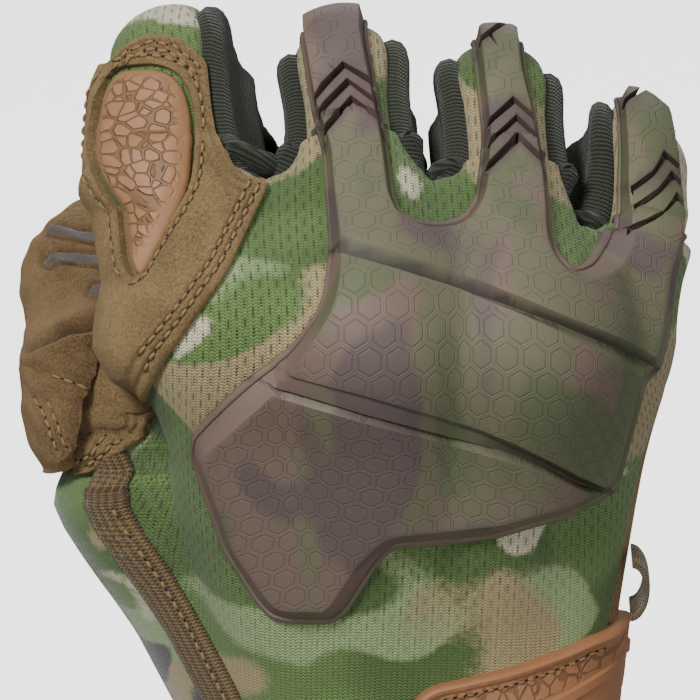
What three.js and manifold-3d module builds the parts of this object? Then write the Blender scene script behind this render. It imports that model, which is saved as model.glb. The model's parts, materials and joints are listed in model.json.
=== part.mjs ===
// A right-hand tactical work glove, closed into a fist, as an assembly of cloth, suede and rubber pieces.
// Units are millimetres. +Z runs from the cuff to the knuckles, the back of the hand faces -Y, the thumb is
// on -X, and the origin is the centre of the cuff's opening.
//
// The hand form is a smooth union of tapered capsules along the bones. Every piece of the glove is a wall
// between two levels of that form: level 0 is the outside of the cloth, negative levels lie inside it and
// positive levels lie above it. Points are found by walking along rays that leave the middle of the hand.
import * as THREE from 'three';
import { mergeVertices } from 'three/addons/utils/BufferGeometryUtils.js';
import Module from 'manifold-3d';

const wasm = await Module();
wasm.setup();

// Driving dimensions
const CLOTH_WALL = 1.6;
const SEAM_INSET = 0.25;
const LAYER_GAP = 0.4;
const WRIST_Z = 48;
const WRIST_FILLET = 70;
const KNUCKLE_FILLET = 22;
const CROTCH_ROOM = 5;
const FORM_BLEND = 2.6;
const SKETCH_TILT = 30;
const TAPE_THICKNESS = 1.2;
const SADDLE_THICKNESS = 1.1;
const PAD_HEIGHT = 2.4;
const GUARD_HEIGHT = 3.0;
const TAB_THICKNESS = 1.8;

// One row for each finger. knuckle is the centre of its first joint, bends are the flexions of its three
// joints, splay leans it sideways, twist turns its bending plane, roll turns its back outwards and web is how
// far past the knuckle it parts from its neighbours.
const FINGERS = [
  { name: 'index', knuckle: [-33.3, 3, 124.2], splay: -9, bends: [52, 102, 62], twist: 10, roll: -14,
    bones: [46.2, 25, 17], radii: [13.2, 12.5, 10.6, 9.4], fillets: [14, 11], wristX: -15, web: 21 },
  { name: 'middle', knuckle: [-9, 0, 125], splay: -4.4, bends: [59, 100, 60], twist: 0, roll: 0,
    bones: [47, 28, 18], radii: [13.8, 11.5, 10.6, 9.4], fillets: [12.5, 11], wristX: -5, web: 26.5 },
  { name: 'ring', knuckle: [14.3, 3, 121.5], splay: -3.0, bends: [57, 100, 60], twist: -1, roll: 9,
    bones: [44.5, 26.5, 18], radii: [13.0, 11.3, 10.3, 9.2], fillets: [12.5, 11], wristX: 6, web: 23.5 },
  { name: 'pinky', knuckle: [27.6, 13, 111], splay: 10.5, bends: [45, 104, 60], twist: -2, roll: 22,
    bones: [36.5, 20, 16], radii: [10.7, 10.4, 9.6, 8.8], fillets: [10.5, 9], wristX: 16, web: 17 },
];

// The thumb's joints, from its root in the heel of the hand to the middle of its tip
const THUMB = { points: [[-28, 12, 56], [-50.5, 21, 98], [-54.5, 56, 103], [-36, 79, 112]],
  radii: [16, 14.4, 12, 10.5], fillets: [14, 15] };

// The rest of the hand: forearm, heel of the thumb, heel of the little finger
const FLESH = [
  { name: 'forearm_left', from: [-11, 2, -20], to: [-9, 1, 50], radii: [23.5, 19] },
  { name: 'forearm_right', from: [13, 2, -20], to: [11, 1, 50], radii: [23.5, 19] },
  { name: 'thumb_heel', from: THUMB.points[0], to: THUMB.points[1], radii: THUMB.radii },
  { name: 'palm_heel', from: [17, 9, 60], to: [24, 13, 98], radii: [13.8, 9.5] },
  { name: 'index_side', from: [-38.5, 12, 126], to: [-41.5, 23, 135], radii: [12.3, 11.8] },
];

const vec = (p) => new THREE.Vector3(...p);
const radians = (degrees) => degrees * Math.PI / 180;
const lerp = (a, b, t) => a + (b - a) * t;
const mix = (a, b, t) => a.clone().lerp(b, t);

// The finger's four points, knuckle to tip, from its bends
function fingerPoints(finger) {
  const tangent = new THREE.Vector3(0, 0, 1);
  const across = new THREE.Vector3(1, 0, 0);
  const points = [vec(finger.knuckle)];
  finger.bones.forEach((length, bone) => {
    if (bone === 1) across.applyAxisAngle(tangent, radians(-finger.twist));
    tangent.applyAxisAngle(across, radians(-finger.bends[bone]));
    if (bone === 0) {
      const back = across.clone().cross(tangent);
      tangent.applyAxisAngle(back, radians(-finger.splay));
      across.applyAxisAngle(back, radians(-finger.splay));
    }
    points.push(points.at(-1).clone().addScaledVector(tangent, length));
  });
  return points;
}

// A line through points whose direction turns evenly round each inner one, as round a fillet. at(distance)
// gives the place, the tangent and the sideways axis, which is carried along without twisting.
class FilletPath {
  constructor(points, fillets, across) {
    this.pieces = [];
    this.corners = [];
    let start = points[0].clone();
    let side = across.clone();
    let distance = 0;
    const addPiece = (piece) => {
      this.pieces.push({ ...piece, from: distance, to: distance + piece.length });
      distance += piece.length;
    };
    for (let i = 1; i < points.length; i += 1) {
      const into = points[i].clone().sub(points[i - 1]).normalize();
      side = side.addScaledVector(into, -side.dot(into)).normalize();
      if (i === points.length - 1) {
        addPiece({ start, tangent: into, side: side.clone(), length: points[i].distanceTo(start) });
        break;
      }
      const out = points[i + 1].clone().sub(points[i]).normalize();
      const turn = into.angleTo(out);
      const radius = fillets[i - 1];
      const cut = radius * Math.tan(turn / 2);
      const arcStart = points[i].clone().addScaledVector(into, -cut);
      addPiece({ start, tangent: into, side: side.clone(), length: arcStart.distanceTo(start) });
      const inward = out.clone().addScaledVector(into, -out.dot(into)).normalize();
      const axis = into.clone().cross(out).normalize();
      addPiece({
        start: arcStart, tangent: into, side: side.clone(), length: radius * turn, radius, inward, axis,
      });
      this.corners.push({ from: distance - radius * turn, to: distance });
      side = side.clone().applyAxisAngle(axis, turn);
      start = points[i].clone().addScaledVector(out, cut);
    }
    this.length = distance;
  }

  at(distance) {
    const piece = this.pieces.find((p) => distance <= p.to) ?? this.pieces.at(-1);
    const along = distance - piece.from;
    if (!piece.axis) {
      return { place: piece.start.clone().addScaledVector(piece.tangent, along),
        tangent: piece.tangent.clone(), side: piece.side.clone() };
    }
    const angle = along / piece.radius;
    const turn = piece.length / piece.radius;
    const outward = piece.radius / Math.cos(Math.min(angle, turn - angle)) - piece.radius;
    const place = piece.start.clone().addScaledVector(piece.inward, piece.radius * (1 - Math.cos(angle)))
      .addScaledVector(piece.tangent, piece.radius * Math.sin(angle));
    const away = piece.inward.clone().applyAxisAngle(piece.axis, angle);
    place.addScaledVector(away, -outward);
    return { place, tangent: piece.tangent.clone().applyAxisAngle(piece.axis, angle),
      side: piece.side.clone().applyAxisAngle(piece.axis, angle), pivot: piece.radius + outward };
  }
}

// Tapered capsules and their smooth union
const pointOf = (p) => (p.isVector3 ? p : vec(p));
const bone = (from, to, radii) => ({ from: pointOf(from), to: pointOf(to), radii });

function boneDistance(p, b) {
  const line = b.to.clone().sub(b.from);
  const t = THREE.MathUtils.clamp(p.clone().sub(b.from).dot(line) / line.lengthSq(), 0, 1);
  return p.distanceTo(b.from.clone().addScaledVector(line, t)) - lerp(b.radii[0], b.radii[1], t);
}

function smoothUnion(bones, blend) {
  return (p) => {
    let sum = 0;
    for (const b of bones) sum += Math.exp(-boneDistance(p, b) / blend);
    return -blend * Math.log(sum);
  };
}

// The point where a ray from inside the form reaches a level of it
function walkTo(field, ray, level) {
  const p = ray.from.clone();
  for (let step = 0; step < 60; step += 1) {
    const left = level - field(p);
    if (Math.abs(left) < 0.002) break;
    p.addScaledVector(ray.towards, left * 0.95);
  }
  const reach = (ray.reach ?? Infinity) + level;
  if (p.distanceTo(ray.from) > reach) return ray.from.clone().addScaledVector(ray.towards, reach);
  return p;
}

const joints = FINGERS.map(fingerPoints);
const METACARPAL_START = [2, 52];
const metacarpals = FINGERS.map((f, i) => {
  const radii = [f.radii[0] + 1.5, f.radii[0]];
  return bone([f.wristX, ...METACARPAL_START], joints[i][0], radii);
});
const firstBones = FINGERS.map((f, i) => bone(joints[i][0], joints[i][1], [f.radii[0], f.radii[1]]));
const upperBones = FINGERS.map((f, i) => [bone(joints[i][1], joints[i][2], [f.radii[1], f.radii[2]]),
  bone(joints[i][2], joints[i][3], [f.radii[2], f.radii[3]])]);
const WEB_RADIUS = 7;
const WEB_DEPTH = 5;
const webs = [0, 1, 2].map((i) => {
  const along = (k, d) => joints[k][0].clone().lerp(joints[k][1], d / FINGERS[k].bones[0]);
  const end = mix(along(i, FINGERS[i].web - WEB_DEPTH), along(i + 1, FINGERS[i + 1].web - WEB_DEPTH), 0.5);
  return bone(mix(joints[i][0], joints[i + 1][0], 0.5), end, [9, WEB_RADIUS]);
});
const flesh = FLESH.map((f) => bone(f.from, f.to, f.radii));

const handForm = smoothUnion([...flesh, ...metacarpals, ...firstBones, ...webs], FORM_BLEND);
const indexSide = flesh[FLESH.findIndex((f) => f.name === 'index_side')];
const lowerBones = FINGERS.map((f, i) => {
  const beside = webs.slice(Math.max(0, i - 1), i + 1);
  return [metacarpals[i], firstBones[i], ...beside, ...(i === 0 ? [indexSide] : [])];
});

// A finger's form round a station takes in only the bones on its own side of the nearest bend, so that the
// folds under a bent finger stay open
const MIDDLE_FOLD = 6.5;
const END_FOLD = 8.5;
const FOLD_BLEND = 0.8;
const fingerForms = FINGERS.map((f, i) => [
  { upTo: MIDDLE_FOLD - 0.01, field: smoothUnion(lowerBones[i], FORM_BLEND) },
  { upTo: MIDDLE_FOLD + 0.01, field: smoothUnion([firstBones[i], upperBones[i][0]], FOLD_BLEND) },
  { upTo: END_FOLD - 0.01, field: smoothUnion([upperBones[i][0]], FOLD_BLEND) },
  { upTo: END_FOLD + 0.01, field: smoothUnion(upperBones[i], FOLD_BLEND) },
  { upTo: Infinity, field: smoothUnion([upperBones[i][1]], FOLD_BLEND) },
]);
const fingerForm = (i, station) => fingerForms[i].find((form) => station <= form.upTo).field;

const webForms = webs.map((web) => smoothUnion([web], FOLD_BLEND));

// The finger's whole path runs from the cuff's edge to its tip. Its stations are the places where the
// stretches of the glove meet, so that station 4 is the web for every finger.
const paths = FINGERS.map((f, i) => {
  const wrist = [vec([f.wristX, 0, 0]), vec([f.wristX, 0, WRIST_Z])];
  const fillets = [WRIST_FILLET, KNUCKLE_FILLET, ...f.fillets];
  const path = new FilletPath([...wrist, ...joints[i]], fillets, vec([1, 0, 0]));
  const [wristArc, knuckleArc, middleArc, endArc] = path.corners;
  const knuckleCut = KNUCKLE_FILLET * Math.tan((knuckleArc.to - knuckleArc.from) / KNUCKLE_FILLET / 2);
  const web = knuckleArc.to + f.web - knuckleCut;
  path.stations = [0, wristArc.from, knuckleArc.from, knuckleArc.to, web, web + CROTCH_ROOM,
    middleArc.from, middleArc.to, endArc.from, endArc.to, path.length];
  return path;
});
const WEB = 4;
const CROTCH = 5;
const TIP = 10;
const HAND_ROWS = [0, 0.35, 0.7, 1, 1.2, 1.38, 1.54, 1.7, 1.8, 1.9, 2, 2.33, 2.67, 3, 4];
const FINGER_ROWS = [4, 5, 6, 6.33, 6.67, 7, 8, 8.33, 8.67, 9, 10];

// Frame of finger i at a station: its place, tangent, sideways axis and the direction of its back
function frameAt(i, station) {
  const { stations } = paths[i];
  const s = THREE.MathUtils.clamp(station, 0, TIP);
  const low = Math.min(Math.floor(s), TIP - 1);
  const frame = paths[i].at(lerp(stations[low], stations[low + 1], s - low));
  const rolled = THREE.MathUtils.smoothstep(s, 1, 3);
  frame.side.applyAxisAngle(frame.tangent, radians(FINGERS[i].roll * rolled));
  frame.back = frame.side.clone().cross(frame.tangent);
  return frame;
}

// A direction in the finger's cross-section: 90 degrees is its back, 0 its little-finger side
function fanDirection(frame, degrees) {
  return frame.side.clone().multiplyScalar(Math.cos(radians(degrees)))
    .addScaledVector(frame.back, Math.sin(radians(degrees)));
}

// The ray out of a cross-section. Under a bend it stops short of the line that the cross-sections fan about.
const FOLD_ROOM = 0.9;
function fanRay(frame, degrees) {
  const down = -Math.sin(radians(degrees));
  const reach = frame.pivot && down > 0.1 ? FOLD_ROOM * frame.pivot / down : Infinity;
  return { from: frame.place, towards: fanDirection(frame, degrees), reach };
}

// The ray to the back (face 1) or palm (face -1) of finger i. across runs from -1, its thumb side corner,
// to 1. Below the web the rays stand side by side, and on the free finger they fan out from its middle.
const CORNER = 45;
function faceRay(i, across, station, face) {
  const frame = frameAt(i, station);
  const fan = fanRay(frame, face * (90 - CORNER * across));
  const next = i + Math.sign(across);
  if (across === 0 || next < 0 || next > 3) return fan;
  const free = THREE.MathUtils.smoothstep(station, WEB, CROTCH);
  if (free >= 1) return fan;
  const other = frameAt(next, station);
  const share = Math.abs(across) / 2;
  const from = mix(frame.place, other.place, share);
  const towards = mix(frame.back, other.back, share).multiplyScalar(face);
  return { from: mix(from, fan.from, free), towards: mix(towards, fan.towards, free).normalize() };
}

// The ray to a finger's side at so many degrees
const sideRay = (i, degrees, station) => fanRay(frameAt(i, station), degrees);

// The ray to the crotch between finger i and the next: 0 degrees points to the back, 90 out along the
// fingers and 180 to the palm
function crotchRay(i, degrees) {
  const [a, b] = [frameAt(i, WEB), frameAt(i + 1, WEB)];
  const tangent = mix(a.tangent, b.tangent, 0.5).normalize();
  const back = mix(a.back, b.back, 0.5).normalize();
  return { from: mix(a.place, b.place, 0.5), towards: back.multiplyScalar(Math.cos(radians(degrees)))
    .addScaledVector(tangent, Math.sin(radians(degrees))) };
}

// A net is a set of named corners, each a ray in a form, and of quads and triangles between them
class Net {
  constructor() {
    this.corners = new Map();
    this.faces = [];
  }

  corner(name, field, ray) {
    if (!this.corners.has(name)) this.corners.set(name, { field, ray });
    return name;
  }

  face(panel, ...names) {
    this.faces.push({ panel, names: names.filter((name, k) => names.indexOf(name) === k) });
  }
}

const BACK_COLUMNS = 4;
const PALM_COLUMNS = 2;

// Columns down a finger's side, by their angle above its middle. The index finger's outer side has more of
// them, since the thumb's root bulges out of it.
const SIDE_ANGLES = [45, 22, 0, -22, -45];
const INDEX_SIDE_ANGLES = [45, 22, -1, -14, -28, -45];
const sideAngles = (i, side) => (i === 0 && side < 0 ? INDEX_SIDE_ANGLES : SIDE_ANGLES);
const sideColumns = (i, side) => sideAngles(i, side).length - 1;

const net = new Net();

const columnsOf = (face) => (face > 0 ? BACK_COLUMNS : PALM_COLUMNS);

// Names the corner at a place on the hand's back or palm. Neighbouring fingers share the corner between them.
function faceCorner(i, column, station, face) {
  const onHand = station <= WEB;
  const columns = columnsOf(face);
  const across = column / columns * 2 - 1;
  const shared = onHand ? `hand ${face} ${i * columns + column}` : `finger ${i} ${face} ${column}`;
  const field = onHand ? handForm : fingerForm(i, station);
  return net.corner(`${shared} ${station}`, field, faceRay(i, across, station, face));
}

// Names the corner at a place on finger i's side. Side 1 faces the little finger, and -1 the thumb.
function sideCorner(i, side, column, station) {
  if (column === 0) return faceCorner(i, side > 0 ? BACK_COLUMNS : 0, station, 1);
  if (column === sideColumns(i, side)) return faceCorner(i, side > 0 ? PALM_COLUMNS : 0, station, -1);
  const inner = (side > 0 && i < 3) || (side < 0 && i > 0);
  if (station === WEB && inner) {
    const gap = side > 0 ? i : i - 1;
    const ray = crotchRay(gap, 180 * column / sideColumns(i, side));
    return net.corner(`crotch ${gap} ${column}`, webForms[gap], ray);
  }
  const up = sideAngles(i, side)[column];
  const degrees = side > 0 ? up : 180 - up;
  const field = station <= WEB ? handForm : fingerForm(i, station);
  return net.corner(`side ${i} ${side} ${column} ${station}`, field, sideRay(i, degrees, station));
}

// Lays faces between rows of corners. cornerAt(column, row) names a corner, and outward says which way
// round the face goes.
function layStrip(columns, rows, cornerAt, panelOf, outward) {
  for (let r = 0; r + 1 < rows.length; r += 1) {
    for (let c = 0; c < columns; c += 1) {
      if (!panelOf(c, rows[r])) continue;
      const [low, high] = [rows[r], rows[r + 1]];
      const quad = [cornerAt(c, low), cornerAt(c + 1, low), cornerAt(c + 1, high), cornerAt(c, high)];
      net.face(panelOf(c, low), ...(outward ? quad : quad.reverse()));
    }
  }
}

// The thumb leaves the hand through a hole in the index finger's side and the palm beside it
const HOLE_ROWS = HAND_ROWS.filter((s) => s >= 1.7 && s <= 2);
const HOLE_SIDE = 3;
const HOLE_PALM = 1;
const inHole = (row) => row >= HOLE_ROWS[0] && row < HOLE_ROWS.at(-1);
const GUSSET_TOP = HOLE_ROWS[0];
const BACK_WRAP = [1.38, 2.67];

const backPanel = () => 'back_panel';
const palmPanel = () => 'palm_panel';
FINGERS.forEach((finger, i) => {
  const palm = (c, s) => (i === 0 && c < HOLE_PALM && inHole(s) ? null : 'palm_panel');
  for (const rows of [HAND_ROWS, FINGER_ROWS]) {
    layStrip(BACK_COLUMNS, rows, (c, s) => faceCorner(i, c, s, 1), backPanel, true);
    layStrip(PALM_COLUMNS, rows, (c, s) => faceCorner(i, c, s, -1), palm, false);
  }
});

// The open sides. The little finger's is shared by back and palm. The index finger's belongs to the palm,
// except for the camouflage gusset over the root of the thumb and the edge of the back panel.
const littleSide = (c) => (c < 1 ? 'back_panel' : 'palm_panel');
function indexEdge(c, s) {
  if (inHole(s) && c >= HOLE_SIDE) return null;
  if (inHole(s) && c >= 2) return 'thumb_shell';
  if (c < 2 && s >= BACK_WRAP[0] && s < BACK_WRAP[1]) return 'back_panel';
  return s < GUSSET_TOP ? 'wrist_gusset' : 'palm_panel';
}
for (const rows of [HAND_ROWS, FINGER_ROWS]) {
  layStrip(sideColumns(3, 1), rows, (c, s) => sideCorner(3, 1, c, s), littleSide, true);
  layStrip(sideColumns(0, -1), rows, (c, s) => sideCorner(0, -1, c, s), indexEdge, false);
}

// The fourchettes line the gaps between fingers
const GAPS = ['index_middle', 'middle_ring', 'ring_pinky'];
GAPS.forEach((gap, i) => {
  const panel = () => `fourchette_${gap}`;
  layStrip(sideColumns(i, 1), FINGER_ROWS, (c, s) => sideCorner(i, 1, c, s), panel, true);
  layStrip(sideColumns(i + 1, -1), FINGER_ROWS, (c, s) => sideCorner(i + 1, -1, c, s), panel, false);
});

// Fingertips: rings that close on a pole
const TIP_RINGS = [30, 60];
function tipCorner(i, degrees, climb) {
  const frame = frameAt(i, TIP);
  const towards = fanDirection(frame, degrees).multiplyScalar(Math.cos(radians(climb)))
    .addScaledVector(frame.tangent, Math.sin(radians(climb)));
  const name = climb === 90 ? `tip ${i}` : `tip ${i} ${Math.round(degrees + 720) % 360} ${climb}`;
  return net.corner(name, fingerForm(i, TIP), { from: frame.place, towards });
}
FINGERS.forEach((finger, i) => {
  const outerSide = (side) => (side > 0 ? i === 3 : i === 0);
  const sidePanel = (side) => (c) => {
    if (!outerSide(side)) return `fourchette_${GAPS[side > 0 ? i : i - 1]}`;
    return side > 0 ? littleSide(c) : 'palm_panel';
  };
  const layTip = (columns, panel, outward, degrees, start) => {
    const at = (c, climb) => (climb === 0 ? start(c) : tipCorner(i, degrees(c), climb));
    layStrip(columns, [0, ...TIP_RINGS, 90], at, panel, outward);
  };
  const fanned = (c, columns) => CORNER * (c / columns * 2 - 1);
  const upOnBack = (c) => 90 - fanned(c, BACK_COLUMNS);
  const upOnPalm = (c) => fanned(c, PALM_COLUMNS) - 90;
  layTip(BACK_COLUMNS, backPanel, true, upOnBack, (c) => faceCorner(i, c, TIP, 1));
  layTip(PALM_COLUMNS, palmPanel, false, upOnPalm, (c) => faceCorner(i, c, TIP, -1));
  for (const side of [1, -1]) {
    const degrees = (c) => (side > 0 ? sideAngles(i, 1)[c] : 180 - sideAngles(i, -1)[c]);
    layTip(sideColumns(i, side), sidePanel(side), side > 0, degrees, (c) => sideCorner(i, side, c, TIP));
  }
});

// The thumb: rings that start as the hole's rim and turn into the thumb's own cross-sections. The rim is
// listed from its back upper corner along the top, down the palm, back along the bottom and up.
const palmColumns = [...Array(HOLE_PALM + 1).keys()];
const holeColumns = [...Array(sideColumns(0, -1) + 1).keys()].slice(HOLE_SIDE);
const acrossHole = [...holeColumns.map((c) => (s) => sideCorner(0, -1, c, s)),
  ...palmColumns.slice(1).map((c) => (s) => faceCorner(0, c, s, -1))];
const [holeBottom, holeTop] = [HOLE_ROWS[0], HOLE_ROWS.at(-1)];
const rim = [...acrossHole.map((corner) => corner(holeTop)),
  ...HOLE_ROWS.slice(1, -1).reverse().map((s) => acrossHole.at(-1)(s)),
  ...acrossHole.map((corner) => corner(holeBottom)).reverse(),
  ...HOLE_ROWS.slice(1, -1).map((s) => acrossHole[0](s))];
const spread = (from, to, steps) => [...Array(steps).keys()].map((k) => lerp(from, to, k / steps));
const [wide, tall] = [acrossHole.length - 1, HOLE_ROWS.length - 1];
const rimAngles = [...spread(135, 45, wide), ...spread(45, -45, tall), ...spread(-45, -135, wide),
  ...spread(-135, -225, tall)];

const thumbJoints = THUMB.points.map(vec);
const thumbPath = new FilletPath(thumbJoints, THUMB.fillets, vec([1, 0, 0]));
const thumbBones = [0, 1, 2]
  .map((k) => bone(thumbJoints[k], thumbJoints[k + 1], THUMB.radii.slice(k, k + 2)));
const thumbForm = smoothUnion(thumbBones, FORM_BLEND);
const rootBones = flesh.filter((b) => b !== indexSide);
const rootForm = smoothUnion([...rootBones, ...metacarpals, thumbBones[1]], FORM_BLEND);
const [thumbKnuckle, thumbBend] = thumbPath.corners;
const THUMB_FREE = thumbKnuckle.to + 7;
const bendSteps = [0, 0.33, 0.67, 1].map((t) => lerp(thumbBend.from, thumbBend.to, t));
const thumbStations = [THUMB_FREE, lerp(THUMB_FREE, thumbBend.from, 0.5), ...bendSteps, thumbPath.length];
const ROOT_RINGS = 1;
const HOLE_CENTRE = vec([-46, 14, 98]);

function thumbRay(distance, degrees) {
  const frame = thumbPath.at(distance);
  frame.side.set(1, 0, 0).addScaledVector(frame.tangent, -frame.tangent.x).normalize();
  frame.back = frame.side.clone().cross(frame.tangent);
  return { from: frame.place, towards: fanDirection(frame, degrees), tangent: frame.tangent };
}

function thumbCorner(j, ring) {
  const k = j % rim.length;
  if (ring === 0) return rim[k];
  if (ring > ROOT_RINGS) {
    const ray = thumbRay(thumbStations[ring - ROOT_RINGS - 1], rimAngles[k]);
    return net.corner(`thumb ${k} ${ring}`, thumbForm, ray);
  }
  const t = ring / (ROOT_RINGS + 1);
  const { field, ray } = net.corners.get(rim[k]);
  const rimPoint = walkTo(field, ray, 0);
  const free = thumbRay(THUMB_FREE, rimAngles[k]);
  const towards = rimPoint.sub(HOLE_CENTRE).normalize().lerp(free.towards, t).normalize();
  return net.corner(`thumb ${k} ${ring}`, rootForm, { from: mix(HOLE_CENTRE, free.from, t), towards });
}
const thumbRings = [...Array(ROOT_RINGS + 1 + thumbStations.length).keys()];
layStrip(rim.length, thumbRings, thumbCorner, () => 'thumb_shell', true);

function thumbTipCorner(j, climb) {
  const k = j % rim.length;
  if (climb === 0) return thumbCorner(k, thumbRings.at(-1));
  const ray = thumbRay(thumbPath.length, rimAngles[k]);
  const towards = ray.towards.multiplyScalar(Math.cos(radians(climb)))
    .addScaledVector(ray.tangent, Math.sin(radians(climb)));
  const name = climb === 90 ? 'thumb tip' : `thumb tip ${k} ${climb}`;
  return net.corner(name, thumbForm, { from: ray.from, towards });
}
layStrip(rim.length, [0, ...TIP_RINGS, 90], thumbTipCorner, () => 'thumb_shell', true);

function faceNormal(points) {
  const normal = new THREE.Vector3();
  points.forEach((p, k) => normal.add(p.clone().cross(points[(k + 1) % points.length])));
  return normal.normalize();
}

// Turns the faces of one panel into a closed wall. Its edges are drawn in a little, to leave the seams open.
function wallOf(faces, corners, outerLevel, innerLevel, inset = SEAM_INSET) {
  const names = [...new Set(faces.flatMap((f) => f.names))];
  const number = new Map(names.map((name, k) => [name, k]));
  const edges = new Map();
  for (const f of faces) {
    f.names.forEach((name, k) => {
      const next = f.names[(k + 1) % f.names.length];
      const back = `${next}|${name}`;
      if (edges.has(back)) edges.delete(back);
      else edges.set(`${name}|${next}`, [name, next, f]);
    });
  }
  const sheets = [outerLevel, innerLevel].map((level) => {
    const points = names.map((name) => {
      const { field, ray } = corners.get(name);
      return walkTo(field, ray, typeof level === 'function' ? level(name) : level);
    });
    const pulls = new Map();
    for (const [a, b, f] of edges.values()) {
      const [p, q] = [points[number.get(a)], points[number.get(b)]];
      const normal = faceNormal(f.names.map((name) => points[number.get(name)]));
      const inwards = normal.cross(q.clone().sub(p)).normalize();
      for (const name of [a, b]) pulls.set(name, [...(pulls.get(name) ?? []), inwards]);
    }
    const moved = points.map((p) => p.clone());
    for (const [name, inwards] of pulls) {
      const pull = inwards.reduce((sum, v) => sum.add(v), new THREE.Vector3()).normalize();
      const stretch = 1 / Math.max(0.5, pull.dot(inwards[0]));
      moved[number.get(name)].addScaledVector(pull, inset * stretch);
    }
    return moved;
  });
  const positions = sheets.flat().flatMap((p) => p.toArray());
  const count = names.length;
  const triangles = [];
  for (const f of faces) {
    const k = f.names.map((name) => number.get(name));
    for (let t = 1; t + 1 < k.length; t += 1) {
      triangles.push(k[0], k[t], k[t + 1]);
      triangles.push(k[0] + count, k[t + 1] + count, k[t] + count);
    }
  }
  for (const [a, b] of edges.values()) {
    const [p, q] = [number.get(a), number.get(b)];
    triangles.push(p, q + count, q, p, p + count, q + count);
  }
  const geometry = new THREE.BufferGeometry();
  geometry.setAttribute('position', new THREE.Float32BufferAttribute(positions, 3));
  geometry.setIndex(triangles);
  return geometry;
}

function panelWall(panel, inset) {
  const faces = net.faces.filter((f) => f.panel === panel);
  return wallOf(faces, net.corners, 0, -CLOTH_WALL, inset);
}

// The rubber and suede pieces on the back are drawn on a plane that leans back over it, x to the right and
// v up the plane. A piece is the part of a layer over the cloth that lies behind its outline.
const GUARD = [[-22, 172], [-21.7, 158.2], [-19.5, 145.5], [-17, 138], [-15.9, 124], [-17, 115.4],
  [-18.2, 112.2], [-24.6, 102.7], [-38.4, 90.6], [-39, 87.4], [-33.7, 72], [-28.1, 63.6], [-25.6, 61],
  [-22.4, 60.2], [-15.1, 60.2], [-12.7, 62.1], [-7.9, 69.5], [-4.6, 72.7], [2.6, 73.3], [12.4, 74.4],
  [25.2, 77.7], [33.4, 82.2], [37.7, 100.3], [39.8, 102.4], [41, 113.8], [42.5, 130], [46, 152], [36, 156],
  [33.1, 148], [30.5, 133.4], [29.6, 124], [28.2, 121.2], [25.3, 120.1], [22.7, 122.9], [21.8, 125.3],
  [21.1, 135], [19.7, 145], [17.8, 153.3], [17.5, 172], [6.5, 172], [7.4, 156.2], [8.8, 141.5], [7.9, 131.7],
  [6.1, 128.6], [3.5, 127.6], [0.1, 127.8], [-2.7, 129], [-3.9, 131.5], [-5.1, 141.2], [-8.3, 158.2],
  [-8, 172]];
const GROOVES = [
  { line: [[-18, 122.6], [-12.9, 122.5], [-6.5, 120.8], [8.7, 115.5], [23.4, 109], [39.5, 101]], width: 2.2 },
  { line: [[-28, 101.8], [-11, 97.2], [0.4, 94.5], [12.5, 90.2], [33.5, 80.8]], width: 2.4 },
];
const CHEVRONS = [
  { apex: [-12.9, 152], step: [0.65, -2.9],
    line: [[-5.4, -6.9], [-3.3, -3.7], [0, 0], [5.2, -3.6], [6.9, -6.3]] },
  { apex: [14.7, 146.3], step: [0.3, -3.15], line: [[-6, -5.8], [0, 0], [4.5, -4.7]] },
  { apex: [39.3, 137.7], step: [0.05, -3.4], line: [[-6.2, -5.1], [-2.8, -2.9], [0, 0], [3.6, -4.9]] },
];
const CHEVRON_WIDTH = 0.9;
const GUARD_DEPTHS = [34, 95];
const SADDLE = [[-51.9, 152.3], [-49.4, 155.6], [-44.5, 157.6], [-39.6, 156.8], [-34.7, 152.8],
  [-33.9, 145], [-30.6, 136], [-28.5, 133.8], [-24.1, 133.8], [-31.1, 118.7], [-40.8, 105], [-50.8, 91.3],
  [-56, 88.3], [-61.8, 84.1], [-64, 92], [-60, 100], [-62, 120], [-62, 150]];
const PAD = [[-54.4, 148.4], [-52.8, 151.6], [-43, 152], [-38.9, 150], [-37.2, 145.1], [-37.2, 136.9],
  [-37.9, 131.9], [-47.5, 117.2], [-50, 119.7], [-52.5, 131.9]];
const SIDE_DEPTHS = [26, 90];
const TAPE = [[-56.3, 87.2], [-52.2, 77.9], [-44.9, 62.9], [-37.6, 47.8], [-32, 35], [-30.5, -20],
  [-24.5, -20], [-25.5, 35], [-30.1, 47.8], [-38.3, 62.9], [-46.5, 77.9], [-51.9, 88.2]];
const BACK_DEPTHS = [-20, 95];

// The cuff's tab and loop are drawn from straight in front, x to the right and z up
const TAB = [[-2, 64.5], [1.2, 67.3], [10, 69], [19, 70], [28.6, 70.8], [34.5, 69], [45, 67], [45, 38],
  [-1, 36], [-6, 39], [-8.5, 48], [-7, 58]];
const TAB_DEPTHS = [-6, 40];
const LOOP = { middle: [34.6, 76], reach: 3.4, height: 11.5, thickness: 1.4, width: 8, depth: -7 };

const tilt = radians(SKETCH_TILT);
const sketchNormal = new THREE.Vector3(0, -Math.cos(tilt), Math.sin(tilt));
const sketchUp = new THREE.Vector3(0, Math.sin(tilt), Math.cos(tilt));
const sketchPlane = new THREE.Matrix4().makeBasis(new THREE.Vector3(1, 0, 0), sketchUp, sketchNormal);
const frontPlane = new THREE.Matrix4().makeBasis(new THREE.Vector3(1, 0, 0), new THREE.Vector3(0, 0, 1),
  new THREE.Vector3(0, -1, 0));

function solidOf(geometry) {
  const bare = new THREE.BufferGeometry();
  const loose = geometry.index ? geometry.toNonIndexed() : geometry;
  bare.setAttribute('position', loose.getAttribute('position'));
  const merged = mergeVertices(bare, 1e-4);
  const vertProperties = merged.attributes.position.array;
  const triVerts = new Uint32Array(merged.index.array);
  return new wasm.Manifold(new wasm.Mesh({ numProp: 3, vertProperties, triVerts }));
}

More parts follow.
